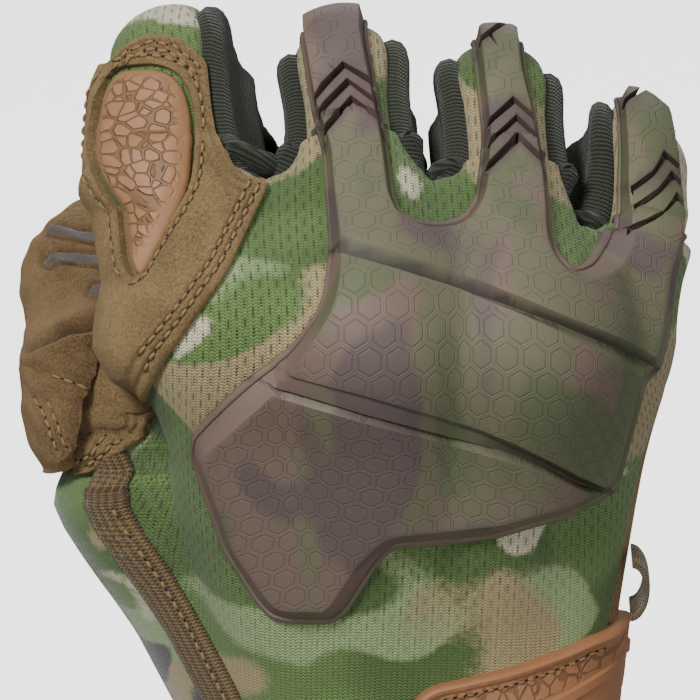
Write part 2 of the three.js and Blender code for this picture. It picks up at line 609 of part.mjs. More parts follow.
function geometryOf(solid) {
  const { numProp, vertProperties, triVerts } = solid.getMesh();
  const geometry = new THREE.BufferGeometry();
  const positions = [];
  for (let k = 0; k < vertProperties.length; k += numProp) positions.push(...vertProperties.slice(k, k + 3));
  geometry.setAttribute('position', new THREE.Float32BufferAttribute(positions, 3));
  geometry.setIndex([...triVerts]);
  return geometry;
}

// The straight block behind an outline of a plane, between two depths
function block(outline, [near, far], plane = sketchPlane) {
  const shape = new THREE.Shape(outline.map(([x, v]) => new THREE.Vector2(x, v)));
  const geometry = new THREE.ExtrudeGeometry(shape, { depth: far - near, bevelEnabled: false });
  return solidOf(geometry.translate(0, 0, near).applyMatrix4(plane));
}

// The outline of a stroke of even width along a line
function stroke(line, width) {
  const sideways = line.map((p, k) => {
    const [a, b] = [line[Math.max(0, k - 1)], line[Math.min(line.length - 1, k + 1)]];
    return new THREE.Vector2(a[1] - b[1], b[0] - a[0]).setLength(width / 2);
  });
  return [...line.map(([x, v], k) => [x + sideways[k].x, v + sideways[k].y]),
    ...line.map(([x, v], k) => [x - sideways[k].x, v - sideways[k].y]).reverse()];
}

const layer = (faces, low, high) => solidOf(wallOf(faces, net.corners, high, low, 0));
const allOf = (solids) => solids.reduce((sum, s) => sum.add(s));
const largest = (solid) => solid.decompose().reduce((a, b) => (a.volume() > b.volume() ? a : b));

// A panel's wall, kept clear of the walls that it meets: they are taken away at eight nudges round them
const TUCKED_INSET = 0.6;
const NUDGE = 0.25;
const bothWays = [-NUDGE, NUDGE];
const nudges = bothWays.flatMap((x) => bothWays.flatMap((y) => bothWays.map((z) => [x, y, z])));
function trimmedPanel(panel, neighbours, inset) {
  const keepOut = neighbours.flatMap((name) => {
    const wall = solidOf(panelWall(name));
    return [wall, ...nudges.map((nudge) => wall.translate(nudge))];
  });
  return largest(keepOut.reduce((left, solid) => left.subtract(solid), solidOf(panelWall(panel, inset))));
}

const onTip = (face) => face.names.some((name) => name.startsWith('tip'));
const backFaces = net.faces.filter((f) => f.panel === 'back_panel' && !onTip(f));
const guardLayer = (low, high) => layer(backFaces, low, high);
const guardPlate = guardLayer(LAYER_GAP, LAYER_GAP + GUARD_HEIGHT).intersect(block(GUARD, GUARD_DEPTHS));
const grooveCuts = GROOVES.map((g) => stroke(g.line, g.width));
const chevronCuts = CHEVRONS.flatMap(({ apex, step, line }) => {
  const moved = (k) => line.map(([x, v]) => [apex[0] + step[0] * k + x, apex[1] + step[1] * k + v]);
  return [0, 1, 2].map((k) => stroke(moved(k), CHEVRON_WIDTH));
});
const cuts = [...grooveCuts, ...chevronCuts].map((outline) => block(outline, GUARD_DEPTHS));
const cutLayer = guardLayer(LAYER_GAP + 1.5, LAYER_GAP + GUARD_HEIGHT + 1);
const guard = largest(guardPlate.subtract(allOf(cuts).intersect(cutLayer)));

// The faces under a piece: those whose corners all have a name that starts so, up to a station of the finger
const SIDE_NAMES = /^(hand 1 [0-4] |finger 0 1|side 0 -1|hand -1 0|thumb \d+ [1-2]$)/;
const TAPE_NAMES = /^(hand 1 [0-4] |side 0 -1 [123] )/;
const CUFF_NAMES = /^(hand 1 |side 3 |hand -1 [78] )/;
const stationOf = (name) => (name.startsWith('thumb') ? 0 : Number(name.split(' ').at(-1)));
const facesNamed = (pattern, last = TIP) => net.faces
  .filter((f) => f.names.every((name) => pattern.test(name) && stationOf(name) <= last));

const saddleTop = LAYER_GAP + SADDLE_THICKNESS;
const saddleFaces = facesNamed(SIDE_NAMES, 7);
const saddleBlock = block(SADDLE, SIDE_DEPTHS);
const saddle = largest(layer(saddleFaces, LAYER_GAP, saddleTop).intersect(saddleBlock));
const saddleRoom = layer(saddleFaces, LAYER_GAP / 2, saddleTop + LAYER_GAP / 2).intersect(saddleBlock);
const thumb = largest(trimmedPanel('thumb_shell', ['wrist_gusset', 'palm_panel']).subtract(saddleRoom));
const padLayer = layer(facesNamed(SIDE_NAMES, 6.67), saddleTop + LAYER_GAP, saddleTop + PAD_HEIGHT);
const pad = largest(padLayer.intersect(block(PAD, SIDE_DEPTHS)));
const tapeLayer = layer(facesNamed(TAPE_NAMES), LAYER_GAP, LAYER_GAP + TAPE_THICKNESS);
const tape = largest(tapeLayer.intersect(block(TAPE, BACK_DEPTHS)));
const tabLayer = layer(facesNamed(CUFF_NAMES), LAYER_GAP, LAYER_GAP + TAB_THICKNESS);
const tab = largest(tabLayer.intersect(block(TAB, TAB_DEPTHS, frontPlane)));

// The pull loop is a bent strap that stands off the little finger's side of the cuff
const loopShape = new THREE.Shape();
const arc = (inset, from, to, clockwise) => loopShape.absellipse(LOOP.middle[0], LOOP.middle[1],
  LOOP.reach - inset, LOOP.height / 2 - inset, from, to, clockwise);
arc(0, -Math.PI / 2, Math.PI / 2, false);
arc(LOOP.thickness, Math.PI / 2, -Math.PI / 2, true);
const loopBend = { depth: LOOP.width, bevelEnabled: false, curveSegments: 10 };
const loopStrap = new THREE.ExtrudeGeometry(loopShape, loopBend)
  .translate(0, 0, LOOP.depth).applyMatrix4(frontPlane);

const glove = new THREE.Group();
glove.name = 'tactical_glove';
function addPiece(name, geometry, colour, roughness = 0.9) {
  const material = new THREE.MeshStandardMaterial({ color: colour, roughness, metalness: 0 });
  const mesh = new THREE.Mesh(geometry, material);
  mesh.name = name;
  glove.add(mesh);
}

addPiece('back_panel', panelWall('back_panel'), '#6f7f4a');
addPiece('palm_panel', panelWall('palm_panel'), '#7a6543');
addPiece('wrist_gusset', panelWall('wrist_gusset'), '#6a7a4c');
addPiece('thumb_shell', geometryOf(thumb), '#86704d');
for (const gap of GAPS) {
  const fourchette = trimmedPanel(`fourchette_${gap}`, ['back_panel', 'palm_panel'], TUCKED_INSET);
  addPiece(`fourchette_${gap}`, geometryOf(fourchette), '#33362b');
}
addPiece('saddle_panel', geometryOf(saddle), '#86704d');
addPiece('index_pad', geometryOf(pad), '#a8785a', 0.6);
addPiece('cuff_tape', geometryOf(tape), '#5f4c36');
addPiece('cuff_tab', geometryOf(tab), '#96664a', 0.6);
addPiece('pull_loop', loopStrap, '#6e5538');
addPiece('knuckle_guard', geometryOf(guard), '#5c5f4e', 0.6);

export default glove;
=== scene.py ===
"""A right-hand tactical glove in a fist. The sheets of cloth, suede and rubber are laid over the same hand
form as the CAD part, in millimetres, and scaled to metres when an object is made."""
import json
import math

import bpy
import numpy as np
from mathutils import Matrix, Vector
from mathutils.bvhtree import BVHTree
from mathutils.kdtree import KDTree

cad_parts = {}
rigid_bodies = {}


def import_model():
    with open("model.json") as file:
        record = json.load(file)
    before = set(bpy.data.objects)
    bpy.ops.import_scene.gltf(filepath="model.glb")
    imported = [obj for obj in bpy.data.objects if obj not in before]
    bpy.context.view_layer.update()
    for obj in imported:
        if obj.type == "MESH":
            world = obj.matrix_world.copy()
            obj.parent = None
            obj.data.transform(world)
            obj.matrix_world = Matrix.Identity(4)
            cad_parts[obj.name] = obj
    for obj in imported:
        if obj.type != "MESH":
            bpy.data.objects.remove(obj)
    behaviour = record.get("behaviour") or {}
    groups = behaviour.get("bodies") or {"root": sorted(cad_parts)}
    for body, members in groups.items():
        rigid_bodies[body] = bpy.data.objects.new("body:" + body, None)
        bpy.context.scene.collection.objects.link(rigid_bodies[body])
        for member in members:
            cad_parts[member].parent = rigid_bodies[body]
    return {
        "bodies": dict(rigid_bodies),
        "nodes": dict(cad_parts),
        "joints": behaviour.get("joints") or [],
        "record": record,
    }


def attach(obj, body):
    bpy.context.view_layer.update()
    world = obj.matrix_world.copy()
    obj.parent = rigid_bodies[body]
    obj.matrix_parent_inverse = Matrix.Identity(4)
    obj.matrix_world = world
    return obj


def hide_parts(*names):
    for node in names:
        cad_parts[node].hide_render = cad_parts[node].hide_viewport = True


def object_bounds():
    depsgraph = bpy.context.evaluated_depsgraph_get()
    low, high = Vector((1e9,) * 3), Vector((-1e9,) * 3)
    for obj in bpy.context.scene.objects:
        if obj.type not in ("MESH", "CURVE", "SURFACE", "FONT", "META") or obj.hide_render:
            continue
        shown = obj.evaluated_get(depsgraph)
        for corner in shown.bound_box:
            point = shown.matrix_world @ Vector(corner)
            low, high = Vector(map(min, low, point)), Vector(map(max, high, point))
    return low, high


# Sizes shared with the CAD part
LAYER_GAP = 0.4
WRIST_Z = 48
WRIST_FILLET = 70
KNUCKLE_FILLET = 22
CROTCH_ROOM = 5
FORM_BLEND, JOINT_BLEND = 2.6, 0.8
SKETCH_TILT = math.radians(30)

FINGERS = [
    dict(knuckle=[-33.3, 3, 124.2], splay=-9, bends=[52, 102, 62], twist=10, roll=-14,
         bones=[46.2, 25, 17], radii=[13.2, 12.5, 10.6, 9.4], fillets=[14, 11], wrist=-15, web=21),
    dict(knuckle=[-9, 0, 125], splay=-4.4, bends=[59, 100, 60], twist=0, roll=0,
         bones=[47, 28, 18], radii=[13.8, 11.5, 10.6, 9.4], fillets=[12.5, 11], wrist=-5, web=26.5),
    dict(knuckle=[14.3, 3, 121.5], splay=-3.0, bends=[57, 100, 60], twist=-1, roll=9,
         bones=[44.5, 26.5, 18], radii=[13.0, 11.3, 10.3, 9.2], fillets=[12.5, 11], wrist=6, web=23.5),
    dict(knuckle=[27.6, 13, 111], splay=10.5, bends=[45, 104, 60], twist=-2, roll=22,
         bones=[36.5, 20, 16], radii=[10.7, 10.4, 9.6, 8.8], fillets=[10.5, 9], wrist=16, web=17),
]
THUMB = dict(points=[[-28, 12, 56], [-50.5, 21, 98], [-54.5, 56, 103], [-36, 79, 112]],
             radii=[16, 14.4, 12, 10.5], fillets=[14, 15])
FLESH = [
    ([-11, 2, -20], [-9, 1, 50], (23.5, 19)),
    ([13, 2, -20], [11, 1, 50], (23.5, 19)),
    (THUMB["points"][0], THUMB["points"][1], (16, 14.4)),
    ([17, 9, 60], [24, 13, 98], (13.8, 9.5)),
    ([-38.5, 12, 126], [-41.5, 23, 135], (12.3, 11.8)),
]


def unit(v):
    """Vectors at length 1"""
    v = np.asarray(v, float)
    return v / np.maximum(np.linalg.norm(v, axis=-1, keepdims=True), 1e-12)


def smoothstep(x, a, b):
    """0 at a, 1 at b, with a soft start and end"""
    t = np.clip((np.asarray(x, float) - a) / (b - a), 0, 1)
    return t * t * (3 - 2 * t)


def turned(v, axis, angle):
    """A vector turned about an axis"""
    v, axis = np.asarray(v, float), unit(axis)
    return (v * math.cos(angle) + np.cross(axis, v) * math.sin(angle)
            + axis * np.dot(axis, v) * (1 - math.cos(angle)))


# Hand form
def finger_points(f):
    """A finger's knuckle, joints and tip"""
    tangent, across = np.array([0, 0, 1.0]), np.array([1.0, 0, 0])
    points = [np.array(f["knuckle"], float)]
    for k, length in enumerate(f["bones"]):
        if k == 1:
            across = turned(across, tangent, math.radians(-f["twist"]))
        tangent = turned(tangent, across, math.radians(-f["bends"][k]))
        if k == 0:
            back = np.cross(across, tangent)
            tangent = turned(tangent, back, math.radians(-f["splay"]))
            across = turned(across, back, math.radians(-f["splay"]))
        points.append(points[-1] + tangent * length)
    return points


class Path:
    """A line through points that turns evenly round each inner one. at(distance) gives place, tangent, side
    and, in a bend, the distance to the line that its cross-sections fan about."""

    def __init__(self, points, fillets, across):
        points = [np.asarray(p, float) for p in points]
        self.pieces, self.corners, self.length = [], [], 0.0
        start, side = points[0], np.asarray(across, float)
        for i in range(1, len(points)):
            into = unit(points[i] - points[i - 1])
            side = unit(side - into * np.dot(side, into))
            if i == len(points) - 1:
                self._add(start=start, tangent=into, side=side, length=np.linalg.norm(points[i] - start))
                break
            out = unit(points[i + 1] - points[i])
            turn = math.acos(np.clip(np.dot(into, out), -1, 1))
            radius = fillets[i - 1]
            cut = radius * math.tan(turn / 2)
            arc_start = points[i] - into * cut
            self._add(start=start, tangent=into, side=side, length=np.linalg.norm(arc_start - start))
            inward = unit(out - into * np.dot(out, into))
            axis = unit(np.cross(into, out))
            self._add(start=arc_start, tangent=into, side=side, length=radius * turn, radius=radius,
                      inward=inward, axis=axis)
            self.corners.append((self.length - radius * turn, self.length))
            side = turned(side, axis, turn)
            start = points[i] + out * cut

    def _add(self, **piece):
        piece["from"] = self.length
        self.length += piece["length"]
        piece["to"] = self.length
        self.pieces.append(piece)

    def at(self, distance):
        piece = next((p for p in self.pieces if distance <= p["to"]), self.pieces[-1])
        along = distance - piece["from"]
        if "axis" not in piece:
            return piece["start"] + piece["tangent"] * along, piece["tangent"], piece["side"], np.inf
        radius = piece["radius"]
        angle, turn = along / radius, piece["length"] / radius
        outward = radius / math.cos(min(angle, turn - angle)) - radius
        place = (piece["start"] + piece["inward"] * radius * (1 - math.cos(angle))
                 + piece["tangent"] * radius * math.sin(angle))
        place = place - turned(piece["inward"], piece["axis"], angle) * outward
        return (place, turned(piece["tangent"], piece["axis"], angle),
                turned(piece["side"], piece["axis"], angle), radius + outward)


class Form:
    """Smooth union of tapered capsules (from, to, radii)"""

    def __init__(self, bones, blend):
        self.a = np.array([b[0] for b in bones], float)
        self.line = np.array([b[1] for b in bones], float) - self.a
        self.size = (self.line ** 2).sum(1)
        self.r = np.array([b[2] for b in bones], float)
        self.blend = blend

    def __call__(self, p):
        rel = p[:, None, :] - self.a
        t = np.clip((rel * self.line).sum(2) / self.size, 0, 1)
        radius = self.r[:, 0] * (1 - t) + self.r[:, 1] * t
        far = np.linalg.norm(rel - t[..., None] * self.line, axis=2) - radius
        least = far.min(1)
        return least - self.blend * np.log(np.exp((least[:, None] - far) / self.blend).sum(1))


WALK_STEPS, WALK_PACE = 45, 0.95


def walk(form, start, towards, level, reach=np.inf):
    """Points where rays from inside the form reach a level of it"""
    start = np.broadcast_to(start, towards.shape)
    p = np.array(start, float)
    level = np.broadcast_to(np.asarray(level, float), len(p))
    for _ in range(WALK_STEPS):
        p += towards * ((level - form(p)) * WALK_PACE)[:, None]
    limit = np.broadcast_to(np.asarray(reach, float), len(p)) + level
    over = np.linalg.norm(p - start, axis=1) > limit
    p[over] = start[over] + towards[over] * limit[over][:, None]
    return p


JOINTS = [finger_points(f) for f in FINGERS]
META = [([f["wrist"], 2, 52], joints[0], (f["radii"][0] + 1.5, f["radii"][0]))
        for f, joints in zip(FINGERS, JOINTS)]
FIRST, SECOND, THIRD = (
    [(joints[k], joints[k + 1], tuple(f["radii"][k:k + 2])) for f, joints in zip(FINGERS, JOINTS)]
    for k in range(3))


def web_end(k):
    """Where the flesh between the fingers ends, on finger k's first bone"""
    distance = FINGERS[k]["web"] - CROTCH_ROOM
    return JOINTS[k][0] + (JOINTS[k][1] - JOINTS[k][0]) * distance / FINGERS[k]["bones"][0]


WEBS = [((JOINTS[i][0] + JOINTS[i + 1][0]) / 2, (web_end(i) + web_end(i + 1)) / 2, (9, 7)) for i in range(3)]
HAND = Form(FLESH + META + FIRST + WEBS, FORM_BLEND)
WEB_FORMS = [Form([w], JOINT_BLEND) for w in WEBS]
INDEX_FLESH = FLESH[4:]
LOWER = [[META[i], FIRST[i]] + WEBS[max(0, i - 1):i + 1] + (INDEX_FLESH if i == 0 else []) for i in range(4)]

# Forms of a finger with the stations between which each one counts
FINGER_FORMS = [[
    (HAND, None, (4, 4.5)),
    (Form(LOWER[i], FORM_BLEND), (4, 4.5), (6, 6.5)),
    (Form([FIRST[i], SECOND[i]], JOINT_BLEND), (6, 6.5), (6.5, 7)),
    (Form([SECOND[i]], JOINT_BLEND), (6.5, 7), (8, 8.5)),
    (Form([SECOND[i], THIRD[i]], JOINT_BLEND), (8, 8.5), (8.5, 9)),
    (Form([THIRD[i]], JOINT_BLEND), (8.5, 9), None),
] for i in range(4)]


def finger_path(i, f):
    """The line from the cuff through a finger, with the distances of its stations"""
    wrist = [[f["wrist"], 0, 0], [f["wrist"], 0, WRIST_Z]]
    path = Path(wrist + JOINTS[i], [WRIST_FILLET, KNUCKLE_FILLET] + f["fillets"], [1, 0, 0])
    wrist_arc, knuckle_arc, middle_arc, end_arc = path.corners
    cut = KNUCKLE_FILLET * math.tan((knuckle_arc[1] - knuckle_arc[0]) / KNUCKLE_FILLET / 2)
    web = knuckle_arc[1] + f["web"] - cut
    path.stations = [0, wrist_arc[0], knuckle_arc[0], knuckle_arc[1], web, web + CROTCH_ROOM,
                     *middle_arc, *end_arc, path.length]
    return path


PATHS = [finger_path(i, f) for i, f in enumerate(FINGERS)]
# Stations where the webs end, where the fingers are free, and at their tips
WEB, CROTCH, TIP = 4, 5, 10
# A length that no ray reaches
FAR = 1e9


def frames(i, stations):
    """Arrays of place, tangent, side, back and pivot of finger i at the stations"""
    knots = PATHS[i].stations
    rows = []
    for s in np.clip(stations, 0, TIP):
        low = min(int(s), TIP - 1)
        place, tangent, side, pivot = PATHS[i].at(knots[low] + (knots[low + 1] - knots[low]) * (s - low))
        side = turned(side, tangent, math.radians(FINGERS[i]["roll"] * float(smoothstep(s, 1, 3))))
        rows.append(np.concatenate([place, tangent, side, np.cross(side, tangent), [pivot]]))
    a = np.array(rows)
    return a[:, 0:3], a[:, 3:6], a[:, 6:9], a[:, 9:12], a[:, 12]


def fan(i, stations, degrees):
    """Grid of rays (start, towards, reach) out of finger i's cross-sections, 90 degrees being its back"""
    place, _, side, back, pivot = frames(i, stations)
    rad = np.radians(degrees)
    towards = side[:, None] * np.cos(rad)[None, :, None] + back[:, None] * np.sin(rad)[None, :, None]
    start = np.broadcast_to(place[:, None], towards.shape).copy()
    down = np.broadcast_to(-np.sin(rad)[None], towards.shape[:2])
    # a ray that leans into a bend stops short of the line that the cross-sections fan about
    leaning = 0.1
    to_pivot = np.where(np.isfinite(pivot), pivot, FAR)[:, None]
    reach = np.where(down > leaning, 0.9 * to_pivot / np.maximum(down, leaning), FAR)
    return start, towards, reach


def face_rays(i, across, stations, face):
    """Rays to the back (face 1) or the palm (face -1) that meet the neighbours' ones below the crotches"""
    start, towards, reach = fan(i, stations, face * (90 - 45 * across))
    place, _, _, back, _ = frames(i, stations)
    free = smoothstep(stations, WEB, CROTCH)[:, None, None]
    for step in (-1, 1):
        columns = np.sign(across) == step
        if not 0 <= i + step <= 3 or not columns.any():
            continue
        other_place, _, _, other_back, _ = frames(i + step, stations)
        share = (np.abs(across[columns]) / 2)[None, :, None]
        mid = place[:, None] * (1 - share) + other_place[:, None] * share
        aim = (back[:, None] * (1 - share) + other_back[:, None] * share) * face
        start[:, columns] = mid * (1 - free) + start[:, columns] * free
        towards[:, columns] = unit(aim * (1 - free) + towards[:, columns] * free)
        reach[:, columns] = np.where(free[:, :, 0] < 1, FAR, reach[:, columns])
    return start, towards, reach


def settle(i, stations, rays, level=0.0):
    """Walks a grid of rays out to the finger's form, blending from each of its forms to the next"""
    start, towards, reach = rays
    rows, columns = reach.shape
    level = np.broadcast_to(np.asarray(level, float), (rows, columns))
    total = np.zeros((rows, columns, 3))
    for form, enter, leave in FINGER_FORMS[i]:
        share = np.ones(rows)
        if enter:
            share = share * smoothstep(stations, *enter)
        if leave:
            share = share * (1 - smoothstep(stations, *leave))
        used = share > 0
        if used.any():
            p = walk(form, start[used].reshape(-1, 3), towards[used].reshape(-1, 3), level[used].ravel(),
                     reach[used].ravel())
            total[used] += p.reshape(-1, columns, 3) * share[used][:, None, None]
    return total

# Sheets
WELD_SIZE, UV_WELD_SIZE = 0.01, 0.05
TRIM_ROOM = 2.5


class Sheet:
    """A triangle mesh with a normal, a flat place (uv, mm) and named values at each vertex"""

    def __init__(self):
        self.pos = np.zeros((0, 3))
        self.uv = np.zeros((0, 2))
        self.tris = np.zeros((0, 3), int)
        self.values = {}

    def add_grid(self, pos, uv, flip=False, keep=None, **values):
        rows, columns = pos.shape[:2]
        number = np.arange(rows * columns).reshape(rows, columns) + len(self.pos)
        a, b, c, d = number[:-1, :-1], number[:-1, 1:], number[1:, 1:], number[1:, :-1]
        quads = np.stack([a, b, c, d], -1).reshape(-1, 4)
        if keep is not None:
            quads = quads[keep.ravel()]
        if flip:
            quads = quads[:, ::-1]
        # the shorter diagonal splits each quad
        p = np.concatenate([self.pos, pos.reshape(-1, 3)])
        first = np.linalg.norm(p[quads[:, 0]] - p[quads[:, 2]], axis=1)
        second = np.linalg.norm(p[quads[:, 1]] - p[quads[:, 3]], axis=1)
        short = (first <= second)[:, None]
        tris = np.concatenate([np.where(short, quads[:, [0, 1, 2]], quads[:, [0, 1, 3]]),
                               np.where(short, quads[:, [0, 2, 3]], quads[:, [1, 2, 3]])])
        size = len(self.pos)
        self.pos = p
        self.uv = np.concatenate([self.uv, uv.reshape(-1, 2)])
        self.tris = np.concatenate([self.tris, tris])
        for name in set(self.values) | set(values):
            old = self.values.get(name, np.zeros(size))
            new = np.broadcast_to(values.get(name, 0.0), (rows, columns)).astype(float).ravel()
            self.values[name] = np.concatenate([old, new])
        return self

    def weld(self, keep_uv=False):
        """Joins vertices at one place. With keep_uv only those with one uv too."""
        key = np.round(self.pos / WELD_SIZE).astype(np.int64)
        if keep_uv:
            key = np.concatenate([key, np.round(self.uv / UV_WELD_SIZE).astype(np.int64)], axis=1)
        _, first, inverse = np.unique(key, axis=0, return_index=True, return_inverse=True)
        inverse = inverse.ravel()
        self.pos, self.uv = self.pos[first], self.uv[first]
        self.values = {k: v[first] for k, v in self.values.items()}
        tris = inverse[self.tris]
        whole = (tris[:, 0] != tris[:, 1]) & (tris[:, 1] != tris[:, 2]) & (tris[:, 0] != tris[:, 2])
        self.tris = tris[whole]
        return self

    def normals(self):
        p = self.pos[self.tris]
        n = np.cross(p[:, 1] - p[:, 0], p[:, 2] - p[:, 0])
        total = np.zeros_like(self.pos)
        for k in range(3):
            np.add.at(total, self.tris[:, k], n)
        # vertices at one place share their normal
        key = np.round(self.pos / 0.004).astype(np.int64)
        _, inverse = np.unique(key, axis=0, return_inverse=True)
        inverse = inverse.ravel()
        joined = np.zeros((inverse.max() + 1, 3))
        np.add.at(joined, inverse, total)
        return unit(joined[inverse])

    def cut(self, name, at, snap=0.06, where=None):
        """Splits triangles along the line where a value is at, only between points in where"""
        value = self.values[name] - at
        value[np.abs(value) < snap] = 0
        self.values[name] = value + at
        sign = np.sign(value).astype(np.int8)
        if where is not None:
            sign[~where] = 0
        a, b = np.concatenate([self.tris[:, [0, 1]], self.tris[:, [1, 2]], self.tris[:, [2, 0]]]).T
        crossed = sign[a] * sign[b] < 0
        if not crossed.any():
            return self
        a, b = np.minimum(a, b)[crossed].astype(np.int64), np.maximum(a, b)[crossed]
        a, b = np.divmod(np.unique(a * len(self.pos) + b), len(self.pos))
        t = value[a] / (value[a] - value[b])
        new = np.arange(len(a)) + len(self.pos)
        size = len(self.pos)

        def mixed(v):
            share = t.reshape(-1, *[1] * (v.ndim - 1))
            return v[a] * (1 - share) + v[b] * share

        self.pos = np.concatenate([self.pos, mixed(self.pos)])
        self.uv = np.concatenate([self.uv, mixed(self.uv)])
        for k, v in self.values.items():
            m = mixed(v)
            if k == name:
                m[:] = at
            self.values[k] = np.concatenate([v, m])
        lookup = a.astype(np.int64) * size + b
        order = np.argsort(lookup)
        lookup, new = lookup[order], new[order]

        def middle(p, q):
            key = np.minimum(p, q).astype(np.int64) * size + np.maximum(p, q)
            spot = np.clip(np.searchsorted(lookup, key), 0, len(lookup) - 1)
            return np.where(lookup[spot] == key, new[spot], -1)

        t0, t1, t2 = self.tris.T
        m01, m12, m20 = middle(t0, t1), middle(t1, t2), middle(t2, t0)
        count = (m01 >= 0).astype(int) + (m12 >= 0) + (m20 >= 0)
        out = [self.tris[count == 0]]
        # each triangle is turned so that its cut edges come first
        for k in range(3):
            p, q, r = self.tris[:, k], self.tris[:, (k + 1) % 3], self.tris[:, (k + 2) % 3]
            pq, rp = [(m01, m12, m20)[(k + j) % 3] for j in (0, 2)]
            one = (count == 1) & (pq >= 0)
            out += [np.stack([p, pq, r], 1)[one], np.stack([pq, q, r], 1)[one]]
            two = (count == 2) & (pq >= 0) & (rp >= 0)
            out += [np.stack(corners, 1)[two] for corners in ([p, pq, rp], [pq, q, r], [pq, r, rp])]
        self.tris = np.concatenate(out)
        return self

    def keep(self, name, above):
        """Drops what lies below a value"""
        middle = self.values[name][self.tris].mean(1)
        self.tris = self.tris[middle > above]
        return self.compact()

    def compact(self):
        used = np.unique(self.tris)
        number = np.full(len(self.pos), -1)
        number[used] = np.arange(len(used))
        self.pos, self.uv = self.pos[used], self.uv[used]
        self.values = {k: v[used] for k, v in self.values.items()}
        self.tris = number[self.tris]
        return self

    def copy(self):
        other = Sheet()
        other.pos, other.uv, other.tris = self.pos.copy(), self.uv.copy(), self.tris.copy()
        other.values = {k: v.copy() for k, v in self.values.items()}
        return other

    def place(self, across="x", up="up"):
        """Places of its vertices on a plane, by default the one that the rubber is drawn on"""
        return np.stack([self.values[across], self.values[up]], 1)

    def note_normals(self):
        """Keeps the normals as values, so that cuts carry them on"""
        self.values["nx"], self.values["ny"], self.values["nz"] = self.normals().T

    def noted_normals(self):
        return unit(np.stack([self.values[k] for k in ("nx", "ny", "nz")], 1))

    def lift(self, normals, high):
        self.pos = self.pos + normals * high[:, None]

    def trim(self, name, rings, snap=0.03):
        """Keeps what lies above 0 of a value, with edges at 0 and along each of the rings"""
        self.keep(name, -TRIM_ROOM)
        for at in (0.0, *rings):
            self.cut(name, at, snap)
        self.keep(name, 0.0)

    def open_edges(self):
        edges = np.concatenate([self.tris[:, [0, 1]], self.tris[:, [1, 2]], self.tris[:, [2, 0]]])
        key = edges[:, 0].astype(np.int64) * len(self.pos) + edges[:, 1]
        back = edges[:, 1].astype(np.int64) * len(self.pos) + edges[:, 0]
        return edges[~np.isin(key, back)]

    def with_skirt(self, drop, normals):
        """Adds a wall down from the open edge to drop below it"""
        edges = self.open_edges()
        rim = np.unique(edges)
        number = np.full(len(self.pos), -1)
        number[rim] = np.arange(len(rim)) + len(self.pos)
        drop = np.broadcast_to(np.asarray(drop, float), len(self.pos))
        self.pos = np.concatenate([self.pos, self.pos[rim] - normals[rim] * drop[rim][:, None]])
        self.uv = np.concatenate([self.uv, self.uv[rim]])
        self.values = {k: np.concatenate([v, v[rim]]) for k, v in self.values.items()}
        a, b = edges.T
        walls = [np.stack([b, a, number[a]], 1), np.stack([b, number[a], number[b]], 1)]
        self.tris = np.concatenate([self.tris, *walls])
        return self


def lengths(points):
    """Running length along the first axis of a grid of points"""
    steps = np.linalg.norm(np.diff(points, axis=0), axis=-1)
    return np.concatenate([np.zeros((1,) + steps.shape[1:]), np.cumsum(steps, axis=0)])


def stepped(*stretches):
    """Even steps through stretches (from, to, count), each sharing its end with the start of the next"""
    return np.concatenate([np.linspace(a, b, n)[:-1] for a, b, n in stretches] + [[stretches[-1][1]]])


# Base sheets: the glove's panels
BACK_N, PALM_N, SIDE_N = 20, 10, 16
BACK_FACE, PALM_FACE = 1, -1
ACROSS = np.linspace(-1, 1, BACK_N + 1)
PALM_ACROSS = np.linspace(-1, 1, PALM_N + 1)
SIDE_DEGREES = np.linspace(45, -45, SIDE_N + 1)
HAND_ROWS = stepped((0, 1, 30), (1, 2, 52), (2, 3, 22), (3, 4, 22))
FINGER_ROWS = stepped((4, 5, 9), (5, 6, 24), (6, 7, 22), (7, 8, 12), (8, 9, 12), (9, 10, 10))
HAND_COUNT = len(HAND_ROWS)
CLIMBS = np.linspace(0, 90, 10)


def sketch(pos):
    """Places on the plane that the rubber is drawn on (x, up the plane) and the height above it"""
    up = pos[..., 1] * math.sin(SKETCH_TILT) + pos[..., 2] * math.cos(SKETCH_TILT)
    depth = -pos[..., 1] * math.cos(SKETCH_TILT) + pos[..., 2] * math.sin(SKETCH_TILT)
    return pos[..., 0], up, depth


def unrolled(up, columns):
    """Up the plane as far as the horizon, and from there on along the surface"""
    out = up.copy()
    for c in range(up.shape[1]):
        top = int(np.argmax(up[:, c]))
        out[top:, c] = up[top, c] + columns[top:, c] - columns[top, c]
    return out


def hand_grid(face, across):
    """The hand's back or palm as four stretches side by side, one below each finger"""
    parts = []
    for i in range(4):
        p = settle(i, HAND_ROWS, face_rays(i, across, HAND_ROWS, face))
        parts.append(p if i == 3 else p[:, :-1])
    return np.concatenate(parts, axis=1)


KNUCKLE_SINK = 1.7


def sink(rows):
    """How far the cloth lies inside the round of a bent joint"""
    return (-KNUCKLE_SINK * smoothstep(rows, 4.9, 6.1) * (1 - smoothstep(rows, 7.2, 8.6)))[:, None]


def finger_face(i, across, face):
    return settle(i, FINGER_ROWS, face_rays(i, across, FINGER_ROWS, face), sink(FINGER_ROWS))


BACK_HAND = hand_grid(BACK_FACE, ACROSS)
PALM_HAND = hand_grid(PALM_FACE, PALM_ACROSS)
BACK_FINGER = [finger_face(i, ACROSS, BACK_FACE) for i in range(4)]
PALM_FINGER = [finger_face(i, PALM_ACROSS, PALM_FACE) for i in range(4)]


